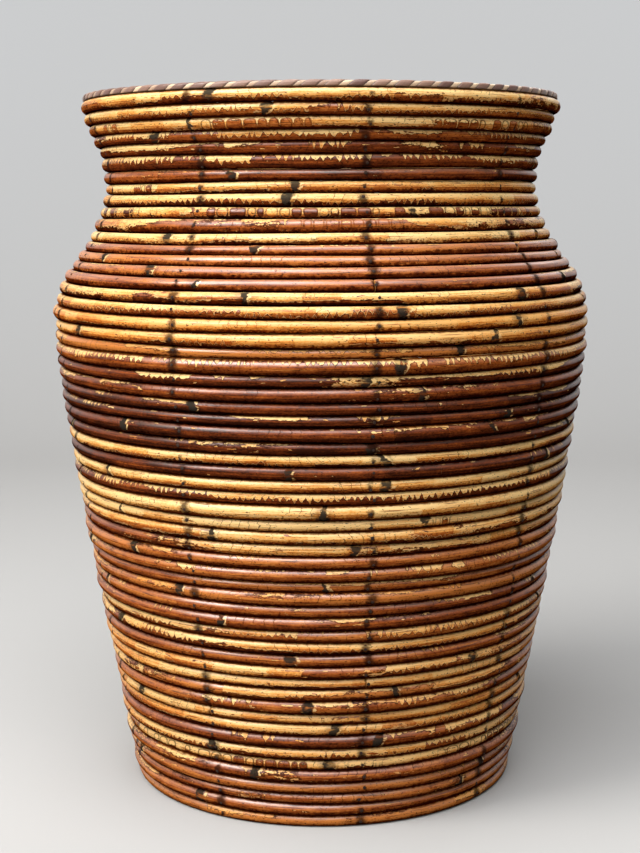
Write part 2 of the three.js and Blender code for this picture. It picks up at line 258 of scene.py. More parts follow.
class VASE_PG_rim(bpy.types.PropertyGroup):
    """The bound rim"""
    pairs: count("Pairs", "Pairs of brown and cream strips round the rim", 72)
    brown_share: share("Brown share", "Share of a pair that is brown", 0.67)
    overhang: length("Overhang", "How far the binding reaches past the wall's centre line", 0.002)
    width: length("Width", "Width of the bound rim", 0.0152)
    low: length("Low", "Height of the rim's underside", RIM_LOW[2])
    high: length("High", "Height of the rim's top", RIM_HIGH[2])
    peel: length("Peel", "Thickness of the peel", 0.0008)
    corner: length("Corner", "Radius of the binding's edges", 0.0015)
    relief: length("Relief", "Height of a strip's crown", 0.0007)
    lean: plain("Lean", "Sideways shift of a strip for each unit of its run", 1.25)
    brown: colour("Brown peel", "Stained strips", (0.225, 0.105, 0.084))
    cream: colour("Cream peel", "Bare strips", (0.68, 0.50, 0.33))


class VASE_PG_frame(bpy.types.PropertyGroup):
    """The ribs, hoops, board and nails inside"""
    rib_width: length("Rib width", "Width of a rib", 0.014)
    rib_thickness: length("Rib thickness", "Thickness of a rib", 0.006)
    rib_seat: length("Rib seat", "Depth of the ribs' outer faces inside the reeds' centre line", 0.0045)
    hoop_diameter: length("Hoop diameter", "Diameter of the hoops' rod", 0.008)
    hoop_notch: length("Hoop notch", "Depth of the notches in the ribs for the hoops", 0.003)
    fit: length("Fit", "Clearance between pieces that touch", 0.0003)
    waist_height: length("Waist hoop", "Height of the lowest hoop", 0.150)
    mouth_drop: length("Mouth hoop", "Depth of the highest hoop under the mouth", 0.020)
    board_thickness: length("Board thickness", "Thickness of the base board", 0.012)
    board_bevel: length("Board bevel", "Worn edge of the base board", 0.0012)
    planks: count("Planks", "Planks glued into the base board", 3)
    cane_pale: colour("Pale cane", "Light fibres of ribs and hoops", (0.52, 0.33, 0.155))
    cane_dark: colour("Dark cane", "Dark fibres of ribs and hoops", (0.235, 0.125, 0.052))
    board_pale: colour("Pale board", "Light grain of the base board", (0.44, 0.285, 0.150))
    board_dark: colour("Dark board", "Dark grain of the base board", (0.205, 0.115, 0.053))
    board_seam: colour("Board seam", "Dust in the seams between planks", (0.03, 0.018, 0.01))
    iron: colour("Iron", "Darkened iron of nails and brads", (0.024, 0.016, 0.012))
    rust: colour("Rust", "Rust on nails and brads", (0.075, 0.028, 0.012))


class VASE_PG_stage(bpy.types.PropertyGroup):
    """Floor, light and camera"""
    camera_distance: length("Camera distance", "From the vase's axis", 1.1586)
    camera_height: length("Camera height", "Above the floor", 0.4168)
    camera_shift: length("Camera side", "Sideways place of the camera", -0.0011)
    camera_pitch: angle("Camera pitch", "Downward tilt", 8.06)
    camera_roll: angle("Camera roll", "Tilt about the view", -0.25)
    lens: plain("Lens", "Focal length in millimetres", 67.14)
    sensor: plain("Sensor", "Width of the camera's sensor in millimetres", 36.0)
    floor: colour("Floor", "Pale plain floor and backdrop", (0.46, 0.457, 0.448))
    sky: colour("Sky", "Colour of the far backdrop", (0.96, 0.98, 1.0))
    horizon: share("Horizon", "Brightness of the far backdrop", 0.66)
    ambient: share("Ambient", "Brightness of the light from all round", 0.055)
    fade_near: length("Fade near", "Distance at which the floor starts to fade into the backdrop", 1.3)
    fade_far: length("Fade far", "Distance at which the floor has become the backdrop", 3.2)
    bounce: colour("Bounce", "What the floor throws back on the vase", (0.125, 0.098, 0.075))


# Wall and winding

def place(radius, azimuth, height):
    """Points from radii, azimuths from the front, and heights."""
    radius, azimuth, height = np.broadcast_arrays(radius, azimuth, height)
    return np.stack((radius * np.sin(azimuth), -radius * np.cos(azimuth), height), -1)


def ripple(waves, phases, azimuth):
    """Sum of waves round the wall, each with its own phase."""
    return sum(height * np.sin(turns * azimuth + phase) for (turns, height), phase in zip(waves, phases))


def hump(distance, width):
    """1 at a place, falling to 0 over a width on both sides of it."""
    return np.exp(-(distance / width) ** 2)


def run_along(points):
    """Distance along a line to each of its points."""
    return np.concatenate(([0.0], np.cumsum(np.linalg.norm(np.diff(points, axis=0), axis=1))))


class Wall:
    """The wall's profile by distance along it, and the winding of the reeds on it."""

    def __init__(self):
        wall = bpy.context.scene.vase_wall
        self.reed = reed = bpy.context.scene.vase_reed
        foot = np.array((wall.foot_radius, 0.0))
        belly = np.array((wall.belly_radius, wall.belly_height))
        neck = np.array((wall.neck_radius, wall.neck_height))
        mouth = np.array((wall.mouth_radius, wall.height))
        up = np.array((0.0, 1.0))
        lean = np.array((wall.foot_flare, wall.foot_rise))
        curves = (
            (foot, foot + lean, belly - up * wall.belly_lower_pull, belly),
            (belly, belly + up * wall.belly_upper_pull, neck - up * wall.neck_lower_pull, neck),
            (neck, neck + up * wall.neck_upper_pull, mouth - up * wall.mouth_pull, mouth),
        )
        points = [foot[None]]
        t = np.linspace(0.0, 1.0, PROFILE_SAMPLES)[1:, None]
        for a, b, c, d in curves:
            points.append((1 - t) ** 3 * a + 3 * (1 - t) ** 2 * t * b + 3 * (1 - t) * t ** 2 * c + t ** 3 * d)
        self.points = np.concatenate(points)
        self.along = run_along(self.points)
        self.length = self.along[-1]
        self.tangents = np.gradient(self.points, self.along, axis=0)
        self.pitch = self.length / reed.courses
        self.bay = TURN / reed.ribs
        facet = TURN / reed.facets
        self.climb = reed.climb_facets / reed.facets
        bays_back = round((math.pi - reed.rib_azimuth + reed.climb_facets * facet / 2) / self.bay)
        self.half_facet = facet / 2
        self.start = reed.rib_azimuth + facet / 2 + bays_back * self.bay
        self.draw_unevenness()

    def draw_unevenness(self):
        """Random heights of the lines between courses, and how far each course stands out."""
        rng = np.random.default_rng(self.reed.seed)
        lines = self.reed.courses + 1
        self.line = rng.uniform(-1, 1, lines) * self.reed.uneven
        self.line_waves = rng.uniform(0, TURN, (len(LINE_WAVES), lines))
        self.out = rng.normal(0, OUT_SPREAD, lines + 1) * self.reed.proud
        self.out_waves = rng.uniform(0, TURN, (len(OUT_WAVES), lines + 1))

    def at(self, distance):
        """Radius, height and tangent of the centre line at distances along it."""
        return [np.interp(distance, self.along, a) for a in (*self.points.T, *self.tangents.T)]

    def radius_at(self, height, depth):
        """Radius at a height of the surface that lies a depth inside the centre line."""
        radii = self.points[:, 0] - depth * self.tangents[:, 1]
        heights = self.points[:, 1] + depth * self.tangents[:, 0]
        return float(np.interp(height, heights, radii))

    def climbed(self, turns):
        """Courses climbed after some turns: level, then one course up in the last part of each turn."""
        whole = np.floor(turns)
        return whole + np.maximum(0, turns - whole - (1 - self.climb)) / self.climb

    def line_shift(self, line, azimuth):
        """How far the line between two courses lies off its even place, in courses."""
        edge = (line == 0) | (line == self.reed.courses)
        return np.where(edge, 0.0, self.line[line] + ripple(LINE_WAVES, self.line_waves[:, line], azimuth))

    def boundary(self, courses, azimuth):
        """Distance along the wall of the line under a course, or between two such lines while it climbs."""
        lower = np.clip(np.floor(courses).astype(int), 0, self.reed.courses)
        upper = np.minimum(lower + 1, self.reed.courses)
        part = courses - lower
        shift = (1 - part) * self.line_shift(lower, azimuth) + part * self.line_shift(upper, azimuth)
        return self.pitch * (courses + shift)

    def course(self, turns):
        """Azimuth, centre radius and height, tangent and half thickness of the winding after some turns."""
        courses = self.reed.courses
        azimuth = self.start + turns * TURN
        bottom = np.where(turns < 0, 0.0, self.climbed(turns))
        top = np.where(turns > courses - self.climb, float(courses), self.climbed(turns + 1))
        low = self.boundary(bottom, azimuth)
        high = self.boundary(top, azimuth)
        half = (high - low - self.reed.gap) / 2
        radius, height, tr, tz = self.at((low + high) / 2)
        line = np.floor(np.clip(bottom, 0, courses)).astype(int)
        part = np.clip(bottom, 0, courses) - line
        wave = ripple(OUT_WAVES, self.out_waves[:, line], azimuth)
        out = (1 - part) * self.out[line] + part * self.out[line + 1] + wave * self.reed.proud / 2
        radius = radius + (half - self.reed.diameter / 2) * THICK_OUTWARD + out
        return azimuth, radius, height, tr, tz, half

    def traits(self, turns):
        """Worn share, stain and flaking of the winding, which change from course to course."""
        values = np.array(COURSE_TRAITS[::-1] + COURSE_TRAITS[:1])
        courses = np.clip(self.climbed(np.maximum(turns, 0)), 0, self.reed.courses - 1)
        line = np.floor(courses).astype(int)
        part = (courses - line)[:, None]
        return (1 - part) * values[line] + part * values[line + 1]

    def brad_stray(self, bay):
        """Angle by which the brad of a bay strays from the middle of its rib."""
        wave = np.sin(bay * STRAY_STEP) * STRAY_GAIN
        return (wave - np.floor(wave) - 0.5) * self.reed.brad_stray

    def to_brad(self, azimuth):
        """Angle to the nearest brad."""
        bay = (azimuth - self.reed.rib_azimuth) / self.bay
        nearest = np.round(bay)
        return np.abs((bay - nearest) * self.bay - self.brad_stray(nearest))

    def ends(self):
        """Turns at which the lengths of reed begin and end."""
        reed = self.reed
        thin = self.climb * (reed.diameter - reed.tip) / self.pitch
        bays = reed.courses * reed.ribs
        joints = [round(i * bays / reed.lengths) for i in range(1, reed.lengths)]
        joints = [(joint * self.bay - self.half_facet) / TURN for joint in joints]
        return [-thin, *joints, reed.courses - self.climb + thin]


# Meshes

def mesh_object(name, points, faces):
    """A smooth mesh object from points and groups of faces, each of one number of corners."""
    mesh = bpy.data.meshes.new(name)
    corners = np.concatenate([np.asarray(group).ravel() for group in faces]).astype(np.int32)
    sizes = np.concatenate([np.full(len(group), len(group[0])) for group in faces])
    mesh.vertices.add(len(points))
    mesh.vertices.foreach_set("co", np.asarray(points, np.float32).ravel())
    mesh.loops.add(len(corners))
    mesh.loops.foreach_set("vertex_index", corners)
    mesh.polygons.add(len(sizes))
    starts = np.concatenate(([0], np.cumsum(sizes)[:-1])).astype(np.int32)
    mesh.polygons.foreach_set("loop_start", starts)
    mesh.polygons.foreach_set("use_smooth", np.ones(len(sizes), bool))
    mesh.update(calc_edges=True)
    mesh.validate()
    piece = bpy.data.objects.new(name, mesh)
    bpy.context.scene.collection.objects.link(piece)
    return piece


def grid_faces(rings, sides, ring_loop=False, side_loop=True):
    """Quads between rings of points. Their corners go up the sides first, then to the next ring."""
    ring, side = np.meshgrid(np.arange(rings if ring_loop else rings - 1),
                             np.arange(sides if side_loop else sides - 1), indexing="ij")
    ring, side = ring.ravel(), side.ravel()
    beside = (side + 1) % sides
    here, after = ring * sides, (ring + 1) % rings * sides
    return np.stack((here + beside, after + beside, after + side, here + side), -1)


def grid_corners(rings, sides):
    """Ring and side numbers of the corners of grid_faces, counted on past the last ring and side."""
    ring, side = np.meshgrid(np.arange(rings), np.arange(sides), indexing="ij")
    ring, side = ring.ravel(), side.ravel()
    return np.stack((ring, ring + 1, ring + 1, ring), -1), np.stack((side + 1, side + 1, side, side), -1)


def end_caps(rings, sides):
    """Fans from two added points that close the first and the last ring."""
    side = np.arange(sides)
    beside = (side + 1) % sides
    first = rings * sides
    far = (rings - 1) * sides
    begin = np.stack((np.full(sides, first), beside, side), -1)
    finish = np.stack((np.full(sides, first + 1), far + side, far + beside), -1)
    return np.concatenate((begin, finish))


def point_values(piece, name, values):
    attribute = piece.data.attributes.new(name, "FLOAT", "POINT")
    attribute.data.foreach_set("value", np.asarray(values, np.float32))


def corner_map(piece, name, values):
    layer = piece.data.uv_layers.new(name=name)
    layer.uv.foreach_set("vector", np.asarray(values, np.float32).ravel())


def bake_rows(ring, side, rings, sides, rows):
    """Map of a long strip, cut into rows that fill one square."""
    per_row = math.ceil(rings / rows)
    row = (ring.min(1) // per_row)[:, None]
    across = (ring - row * per_row) / per_row
    up = (row + ROW_MARGIN + (1 - 2 * ROW_MARGIN) * side / sides) / rows
    return np.stack((SIDE_MARGIN + (1 - 2 * SIDE_MARGIN) * across, up), -1).reshape(-1, 2)


def dress(piece, slot, material, *nodes):
    """Gives a piece its material and its body, and hides the nodes that it stands for. The slot is not used.
    """
    piece.data.materials.append(material)
    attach(piece, BODY)
    if nodes:
        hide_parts(*nodes)


def slot_of(node):
    return next(part["material_slot"] for part in frame["record"]["subparts"] if part["node"] == node)


# Shader nodes

class Graph:
    """Adds nodes to a tree and joins them by their sockets."""

    def __init__(self, tree):
        self.tree = tree

    def node(self, kind, inputs=(), **options):
        made = self.tree.nodes.new(kind)
        for key, value in options.items():
            setattr(made, key, value)
        for key, value in dict(inputs).items():
            self.feed(made.inputs[key], value)
        return made

    def feed(self, socket, value):
        if isinstance(value, bpy.types.NodeSocket):
            self.tree.links.new(value, socket)
        elif socket.type == "RGBA":
            socket.default_value = (*value[:3], 1.0)
        else:
            socket.default_value = value

    def math(self, operation, *values, clamp=False):
        return self.node("ShaderNodeMath", enumerate(values), operation=operation, use_clamp=clamp).outputs[0]

    def fold(self, operation, values):
        """Joins many values by one operation, from the first on."""
        return functools.reduce(lambda first, second: self.math(operation, first, second), values)

    def total(self, *values):
        return self.fold("ADD", values)

    def times(self, *values):
        return self.fold("MULTIPLY", values)

    def most(self, *values):
        return self.fold("MAXIMUM", values)

    def about(self, value, middle, gain):
        """A value's distance from a middle, times a gain."""
        return self.math("MULTIPLY", self.math("SUBTRACT", value, middle), gain)

    def sway(self, value, gain):
        """How far a noise lies from its middle, times a gain."""
        return self.about(value, 0.5, gain)

    def mix(self, part, first, second, kind="MIX"):
        made = self.node("ShaderNodeMix", data_type="RGBA", clamp_factor=True, blend_type=kind)
        for index, value in ((0, part), (6, first), (7, second)):
            self.feed(made.inputs[index], value)
        return made.outputs[2]

    def step(self, value, low, high, out_low=0.0, out_high=1.0):
        """Smooth step from low to high, which may run downwards."""
        return self.node("ShaderNodeMapRange", {
            "Value": value, "From Min": low, "From Max": high, "To Min": out_low, "To Max": out_high,
        }, interpolation_type="SMOOTHSTEP").outputs[0]

    def ramp(self, value, *stops):
        made = self.node("ShaderNodeValToRGB", {"Fac": value})
        elements = made.color_ramp.elements
        while len(elements) < len(stops):
            elements.new(0.5)
        for element, (position, tint) in zip(elements, stops):
            element.position = position
            element.color = (*tint[:3], 1.0)
        return made.outputs[0]

    def noise(self, vector, scale=1.0, detail=2.0, roughness=0.5):
        return self.node("ShaderNodeTexNoise", {
            "Vector": vector, "Scale": scale, "Detail": detail, "Roughness": roughness}).outputs[0]

    def vector(self, x, y, z=0.0):
        return self.node("ShaderNodeCombineXYZ", {"X": x, "Y": y, "Z": z}).outputs[0]

    def split(self, vector):
        return self.node("ShaderNodeSeparateXYZ", {0: vector}).outputs

    def attribute(self, name):
        return self.node("ShaderNodeAttribute", attribute_name=name).outputs["Fac"]

    def map(self, name):
        """The two axes of a piece's map."""
        return self.split(self.node("ShaderNodeUVMap", uv_map=name).outputs[0])[:2]

    def fibre(self, along, across, length_mm, width_mm, shift=0.0):
        """Fine fibres and broad clouds along a grain, from the shared group."""
        made = self.node("ShaderNodeGroup", node_tree=fibre_group())
        self.shade(made, Along=along, Across=across, Length=length_mm, Width=width_mm, Shift=shift)
        return made.outputs["Fibre"], made.outputs["Cloud"]

    def shown(self):
        """1 where the camera, a reflection or clear matter looks, which light on other surfaces does not."""
        ray = self.node("ShaderNodeLightPath").outputs
        return self.most(ray["Is Camera Ray"], ray["Is Glossy Ray"], ray["Is Transmission Ray"])

    def shade(self, made, **values):
        """Sets a node's inputs by names whose spaces are written as underscores."""
        for key, value in values.items():
            self.feed(made.inputs[key.replace("_", " ")], value)

    def bump(self, strength, depth, height):
        """A normal that rises and falls with a height."""
        inputs = {"Strength": strength, "Distance": depth, "Height": height}
        return self.node("ShaderNodeBump", inputs).outputs[0]

    def cells(self, run, output, **options):
        """A value of the uneven cells into which a run is cut."""
        made = self.node("ShaderNodeTexVoronoi", {"W": run, "Scale": 1.0}, voronoi_dimensions="1D", **options)
        return made.outputs[output]

    def chance(self, number):
        """A random value for each whole number."""
        return self.node("ShaderNodeTexWhiteNoise", {"W": number}, noise_dimensions="1D").outputs["Value"]

    def position(self):
        """Where the surface lies, in metres."""
        return self.node("ShaderNodeNewGeometry").outputs["Position"]


def blend(first, second, part):
    """A colour between two."""
    return tuple((1 - part) * a + part * b for a, b in zip(first, second))


def new_material(name):
    material = bpy.data.materials.new(name)
    material.use_nodes = True
    material.node_tree.nodes.clear()
    graph = Graph(material.node_tree)
    shader = graph.node("ShaderNodeBsdfPrincipled")
    output = graph.node("ShaderNodeOutputMaterial")
    material.node_tree.links.new(shader.outputs[0], output.inputs[0])
    return material, graph, shader


def fibre_group():
    """Grain of cane, reed, peel and board: fine fibres, and broad clouds several fibres wide."""
    name = "fibre_grain"
    if name in bpy.data.node_groups:
        return bpy.data.node_groups[name]
    group = bpy.data.node_groups.new(name, "ShaderNodeTree")
    for socket in ("Along", "Across", "Length", "Width", "Shift"):
        group.interface.new_socket(name=socket, in_out="INPUT", socket_type="NodeSocketFloat")
    for socket in ("Fibre", "Cloud"):
        group.interface.new_socket(name=socket, in_out="OUTPUT", socket_type="NodeSocketFloat")
    g = Graph(group)
    given = g.node("NodeGroupInput").outputs
    x = g.math("DIVIDE", given["Along"], given["Length"])
    y = g.math("DIVIDE", given["Across"], given["Width"])
    fine = g.vector(g.total(x, given["Shift"]), y, given["Shift"])
    broad = g.vector(g.total(g.times(x, 0.3), given["Shift"]), g.times(y, 0.06), given["Shift"])
    fibre = g.noise(fine, 1.0, 3.0, 0.55)
    cloud = g.noise(broad, 1.0, 2.0, 0.5)
    g.node("NodeGroupOutput", {"Fibre": fibre, "Cloud": cloud})
    return group


def reed_fields(g):
    """What the reed's finish follows: places on the reed in millimetres, its course's traits, and noises."""
    f = SimpleNamespace()
    metres, rounds = g.map("ReedMap")
    f.along = g.times(metres, MM_PER_M)
    f.around = g.times(rounds, REED_GIRTH_MM)
    f.turn = g.about(rounds, 0.5, TURN)
    f.upward = g.math("SINE", f.turn)
    f.outward = g.math("COSINE", f.turn)
    f.collar = g.times(g.attribute("collar"), MM_PER_M)
    f.brad = g.times(g.attribute("brad"), MM_PER_M)
    f.worn = g.attribute("worn")
    f.stain = g.attribute("stain")
    f.flaking = g.attribute("flaking")
    surface = g.node("ShaderNodeNewGeometry").outputs
    f.low = g.step(g.split(surface["Position"])[2], 0.32, 0.05)
    f.skyward = g.split(surface["Normal"])[2]

    def noise(length, width, detail, shift):
        """Noise whose marks have a length and a width along the reed. Each shift gives another one."""
        x = g.total(g.math("DIVIDE", f.along, length), shift)
        return g.noise(g.vector(x, g.math("DIVIDE", f.around, width), shift), detail=detail)

    f.noise = noise
    f.crumb = noise(2.0, 0.9, 1.0, 133.0)
    f.ragged = noise(2.6, 2.0, 2.0, 7.7)
    f.patch = noise(46.0, 7.0, 3.0, 3.1)
    f.drift = noise(170.0, 60.0, 1.0, 17.0)
    f.side = noise(210.0, 90.0, 1.0, 41.0)
    f.mottle = noise(11.0, 3.4, 3.0, 77.0)
    f.line = noise(24.0, 0.8, 2.0, 151.0)
    f.fray = g.sway(noise(5.0, 4.0, 2.0, 51.0), 5.0)
    cut = g.total(g.math("DIVIDE", f.along, 36.0), g.sway(f.ragged, 0.12), g.sway(f.mottle, 0.22))
    f.block = g.node("ShaderNodeSeparateColor", {0: g.cells(cut, "Color")}).outputs
    f.streak, f.cloud = g.fibre(f.along, f.around, 70.0, 1.3, 61.0)
    f.grain, f.tan = g.fibre(f.along, f.around, 50.0, 1.0, 91.0)
    return f


def flake_in_teeth(g, f):
    """Stretches where the skin has flaked off along a toothed edge, and the teeth."""
    stretch = g.step(g.total(f.noise(80.0, 40.0, 1.0, 23.0), g.times(f.flaking, 0.36)), 0.57, 0.67)
    broken = g.step(g.total(f.noise(15.0, 30.0, 1.0, 29.0), g.times(f.flaking, 0.16)), 0.36, 0.54)
    toothed = g.times(stretch, broken)
    jog = g.total(
        g.math("DIVIDE", f.along, 2.3), g.sway(f.noise(9.0, 600.0, 1.0, 57.0), 3.4), g.times(f.fray, 0.06))
    bite = g.step(f.noise(7.0, 600.0, 1.0, 35.0), 0.30, 0.70, 0.10, 0.54)
    tooth = g.times(g.about(g.math("PINGPONG", jog, 1.0), 0.5, 1.0), bite, g.step(toothed, 0.5, 1.0))
    return toothed, tooth


def flake_in_cells(g, f):
    """Rounded cells of skin that are left in some stretches, and the dark seams round them."""
    run = g.total(g.math("DIVIDE", f.along, 8.0), g.times(f.fray, 0.02))
    cell = g.cells(run, "Color")
    edge = g.cells(run, "Distance", feature="DISTANCE_TO_EDGE")
    inset = g.math("SMOOTH_MIN", g.times(edge, 8.0), g.about(f.outward, 0.55, 9.0), 7.0)
    inset = g.total(inset, g.times(f.fray, 0.14))
    celled = g.step(g.total(f.noise(120.0, 60.0, 1.0, 37.0), g.times(f.flaking, -0.30)), 0.70, 0.75)
    filled = g.times(celled, g.step(cell, 0.43, 0.46), g.step(inset, 0.25, 0.45))
    seam = g.times(celled, g.step(cell, 0.22, 0.30), g.step(inset, 0.05, 0.25), g.step(inset, 1.3, 0.8))
    return filled, seam


def flake_skin(g, f):
    """Where the skin has flaked off, in patches, blocks, cells and teeth, and the edges of what is left."""
    toothed, tooth = flake_in_teeth(g, f)
    filled, f.seam = flake_in_cells(g, f)
    free_lean = g.times(g.about(f.side, 0.40, 1.7), g.about(toothed, 1.0, -1.0))
    lean = g.total(free_lean, g.times(toothed, 0.5))
    f.level = g.total(
        0.5, g.sway(f.patch, 0.62), g.sway(f.mottle, 0.20), g.sway(f.worn, 0.80), g.sway(f.drift, 0.46),
        g.times(lean, f.upward), g.sway(f.block[0], 0.30))
    chip = f.noise(8.0, 2.0, 2.0, 191.0)
    chip = g.math("SUBTRACT", g.step(chip, 0.60, 0.70), g.step(chip, 0.40, 0.30))
    chip = g.times(chip, g.step(toothed, 0.0, 1.0, 0.27, 0.07))
    flaked = g.total(
        f.level, chip, g.sway(f.ragged, 0.11), g.sway(f.crumb, 0.14), tooth, g.times(f.seam, -0.12),
        g.times(filled, -0.45))
    f.bare = g.step(flaked, 0.488, 0.512)
    # The dark edge on the skin's side is partly stain and partly painted shade; the pale band on the straw's
    # side is partly newly bared straw and partly a painted highlight.
    f.lip = g.times(g.step(flaked, 0.40, 0.48), g.step(flaked, 0.51, 0.495))
    f.fresh = g.times(g.step(flaked, 0.50, 0.515), g.step(flaked, 0.57, 0.53))


def skin_tone(g, f, reed):
    """Stained skin, streaked and mottled, lighter above and darker below as painted light and shade, with a
    haze above that is partly a painted sheen.
    """
    # The term in upward paints light on the skin's upper side and painted shade on its lower side.
    depth = g.total(
        g.about(f.stain, 0.10, 1.0), g.sway(f.cloud, 0.75), g.sway(f.streak, 1.25), g.sway(f.mottle, 0.75),
        g.sway(f.crumb, 0.60), g.sway(f.block[1], 0.20), g.times(f.upward, -0.14))
    skin = g.ramp(depth, (0.0, reed.honey), (0.34, reed.chestnut), (0.66, reed.mahogany), (1.0, reed.umber))
    # A pinkish haze where the skin faces up: partly a dull coating, partly a painted sheen of the sky.
    film_and_sheen = g.step(g.total(f.cloud, g.sway(f.mottle, 0.6), g.sway(f.crumb, 0.25)), 0.30, 0.60, 0.06, 0.28)
    film_and_sheen = g.times(g.step(f.skyward, 0.25, 0.85), film_and_sheen, g.step(f.stain, 0.85, 0.45, 0.7, 1.0))
    skin = g.mix(film_and_sheen, skin, reed.bloom_and_sheen)
    skin = g.mix(g.step(f.line, 0.60, 0.66, 0.0, 0.75), skin, reed.umber)
    # Dark line along the skin's edge, partly stain and partly painted shade.
    return g.mix(g.times(f.lip, 0.8), skin, reed.umber)


def core_tone(g, f, reed):
    """Straw core, golden, browner near the skin that is left, with dark fibres, paler above and browner below
    as painted light and shade.
    """
    # The term in upward paints light on the core's upper side and painted shade on its lower side; the term
    # in low makes the core a little browner towards the foot.
    pale = g.total(
        g.times(f.grain, 0.95), g.times(f.tan, 0.50), g.about(f.level, 0.66, 0.32), g.sway(f.block[2], 0.36),
        g.sway(f.mottle, 0.42), g.sway(f.crumb, 0.42), g.times(f.upward, 0.34),
        g.step(f.worn, 0.70, 0.95, -0.05, 0.07), g.step(f.worn, 0.55, 0.40, 0.0, 0.10),
        g.times(f.low, -0.04), -0.20)
    core = g.ramp(
        pale, (0.20, reed.chestnut), (0.34, reed.straw_brown), (0.52, reed.straw), (0.82, reed.straw_pale))
    core = g.mix(g.step(f.line, 0.61, 0.67, 0.0, 0.85), core, blend(reed.chestnut, reed.umber, 0.4))
    # Pale band along the skin's edge, partly newly bared straw and partly a painted highlight.
    core = g.mix(g.times(f.fresh, 0.6), core, reed.straw_pale)
    # Towards the foot the core is tinted warmer and darker.
    core = g.mix(g.times(f.low, 0.5), core, reed.foot_tint, "MULTIPLY")
    return g.mix(g.step(f.stain, 0.30, 0.20), core, reed.amber, "MULTIPLY")


def crack_and_speck(g, f, reed, tone):
    """Adds cracks across the reed, and specks that gather low on it."""
    run = g.total(g.math("DIVIDE", f.along, 6.5), g.sway(f.patch, 2.2))
    line = g.math("ABSOLUTE", g.about(g.math("FRACT", run), 0.5, 1.0))
    f.crack = g.times(g.step(line, 0.050, 0.015), g.step(f.noise(50.0, 12.0, 1.0, 97.0), 0.54, 0.62))
    tone = g.mix(g.times(f.crack, 0.7), tone, reed.umber)
    speck = g.total(f.noise(2.0, 1.0, 1.0, 113.0), g.times(f.upward, -0.04), g.sway(f.mottle, 0.25))
    return g.mix(g.step(speck, 0.62, 0.70, 0.0, 0.85), tone, reed.umber)


def add_growth_rings(g, f, reed, tone):
    """Adds dark growth rings, ragged and slanting a little, some with a pale edge."""
    slant = g.total(
        f.collar, g.times(f.upward, g.sway(f.side, 13.0)), g.times(f.fray, 1.2), g.sway(f.ragged, 4.0))
    width = g.step(f.noise(90.0, 12.0, 1.0, 83.0), 0.30, 0.70, 1.4, 4.3)
    f.ring = g.step(g.math("DIVIDE", g.math("ABSOLUTE", slant), width), 1.1, 0.7)
    halo = g.step(g.math("ABSOLUTE", g.total(slant, g.times(f.fray, 0.8))), 9.0, 1.5, 0.0, 0.5)
    bright = g.step(g.math("ABSOLUTE", g.math("SUBTRACT", g.about(slant, 0.8, 1.0), width)), 1.0, 0.5)
    tone = g.mix(g.times(halo, g.step(f.drift, 0.40, 0.54)), tone, reed.umber)
    tone = g.mix(g.times(bright, g.step(f.mottle, 0.44, 0.52, 0.0, 0.85)), tone, reed.straw_pale)
    return g.mix(g.times(f.ring, g.step(f.mottle, 0.36, 0.50, 0.35, 0.95)), tone, reed.scar)


def soil_and_shade(g, f, reed, tone):
    """Adds stains round the brads, grime and painted shade in the grooves and on the lower sides, and the raw
    inner side.
    """
    reach = g.step(f.noise(37.0, 40.0, 0.0, 67.0), 0.34, 0.68, 1.4, 5.6)
    spot = g.math("SQRT", g.total(g.times(f.brad, f.brad), g.times(f.turn, f.turn, 7.0)))
    spot = g.total(spot, g.times(f.fray, 0.8), g.sway(f.ragged, 3.0), g.sway(f.crumb, 2.0))
    f.soot = g.step(g.math("DIVIDE", spot, reach), 1.0, 0.25, 0.0, 0.85)
    tone = g.mix(f.soot, tone, reed.soot)
    # Painted shade with some grime: darker on the lower side of each reed, more so towards the foot.
    grime_and_shade = g.total(
        f.upward, g.sway(f.patch, 1.0), g.sway(f.ragged, 1.0), g.sway(f.crumb, 0.8),
        g.about(f.low, 0.25, -0.24))
    tone = g.mix(g.step(grime_and_shade, -0.34, -0.72, 0.0, 0.9), tone, reed.dirt_and_shade, "MULTIPLY")
    # Painted shade with some grime in the grooves between courses.
    f.groove = g.step(g.total(f.outward, g.sway(f.ragged, 0.35)), 0.70, 0.34)
    tone = g.mix(f.groove, tone, reed.dirt_and_shade, "MULTIPLY")
    f.inside = g.step(f.outward, -0.35, -0.75)
    return g.mix(g.times(f.inside, 0.85), tone, g.mix(f.grain, reed.raw, reed.straw))


def lacquer_gloss(g, f):
    """Lacquer, which shines on the upper sides and is worn dull on rings, stains and in the grooves."""
    patchy = g.step(f.noise(60.0, 9.0, 2.0, 171.0), 0.30, 0.62, 0.45, 1.0)
    shine = g.times(g.step(f.skyward, 0.0, 0.62), patchy)
    dull = g.most(f.groove, g.times(f.soot, 1.15), f.ring, g.times(g.most(f.lip, f.seam, f.crack), 0.85))
    return g.times(
        shine, g.math("SUBTRACT", 1.0, dull, clamp=True), g.step(f.stain, 0.90, 0.50, 0.45, 1.0),
        g.step(f.bare, 0.0, 1.0, 1.0, 0.45))


def reed_material():
    """Stained, lacquered reed whose skin cracks across and flakes off its straw core."""
    reed = bpy.context.scene.vase_reed
    material, g, shader = new_material("reed_lacquered")
    f = reed_fields(g)
    flake_skin(g, f)
    tone = g.mix(f.bare, skin_tone(g, f, reed), core_tone(g, f, reed))
    tone = g.mix(g.times(f.seam, g.step(f.bare, 0.0, 1.0, 0.3, 0.7)), tone, reed.umber)
    for add in (crack_and_speck, add_growth_rings, soil_and_shade):
        tone = add(g, f, reed, tone)
    rough = g.total(
        g.times(f.bare, 0.05), g.times(f.streak, 0.18), g.times(f.mottle, 0.14), g.times(f.inside, 0.35))
    rough = g.math("ADD", rough, 0.15, clamp=True)
    relief = g.total(
        g.times(f.streak, 0.45), g.times(f.bare, -0.4), g.times(f.crack, -0.6), g.times(f.grain, 0.25),
        g.times(f.crumb, 0.35))
    g.shade(shader, Base_Color=tone, Roughness=rough, Normal=g.bump(0.7, 0.0004, relief),
            Specular_IOR_Level=lacquer_gloss(g, f), IOR=1.65)
    return material


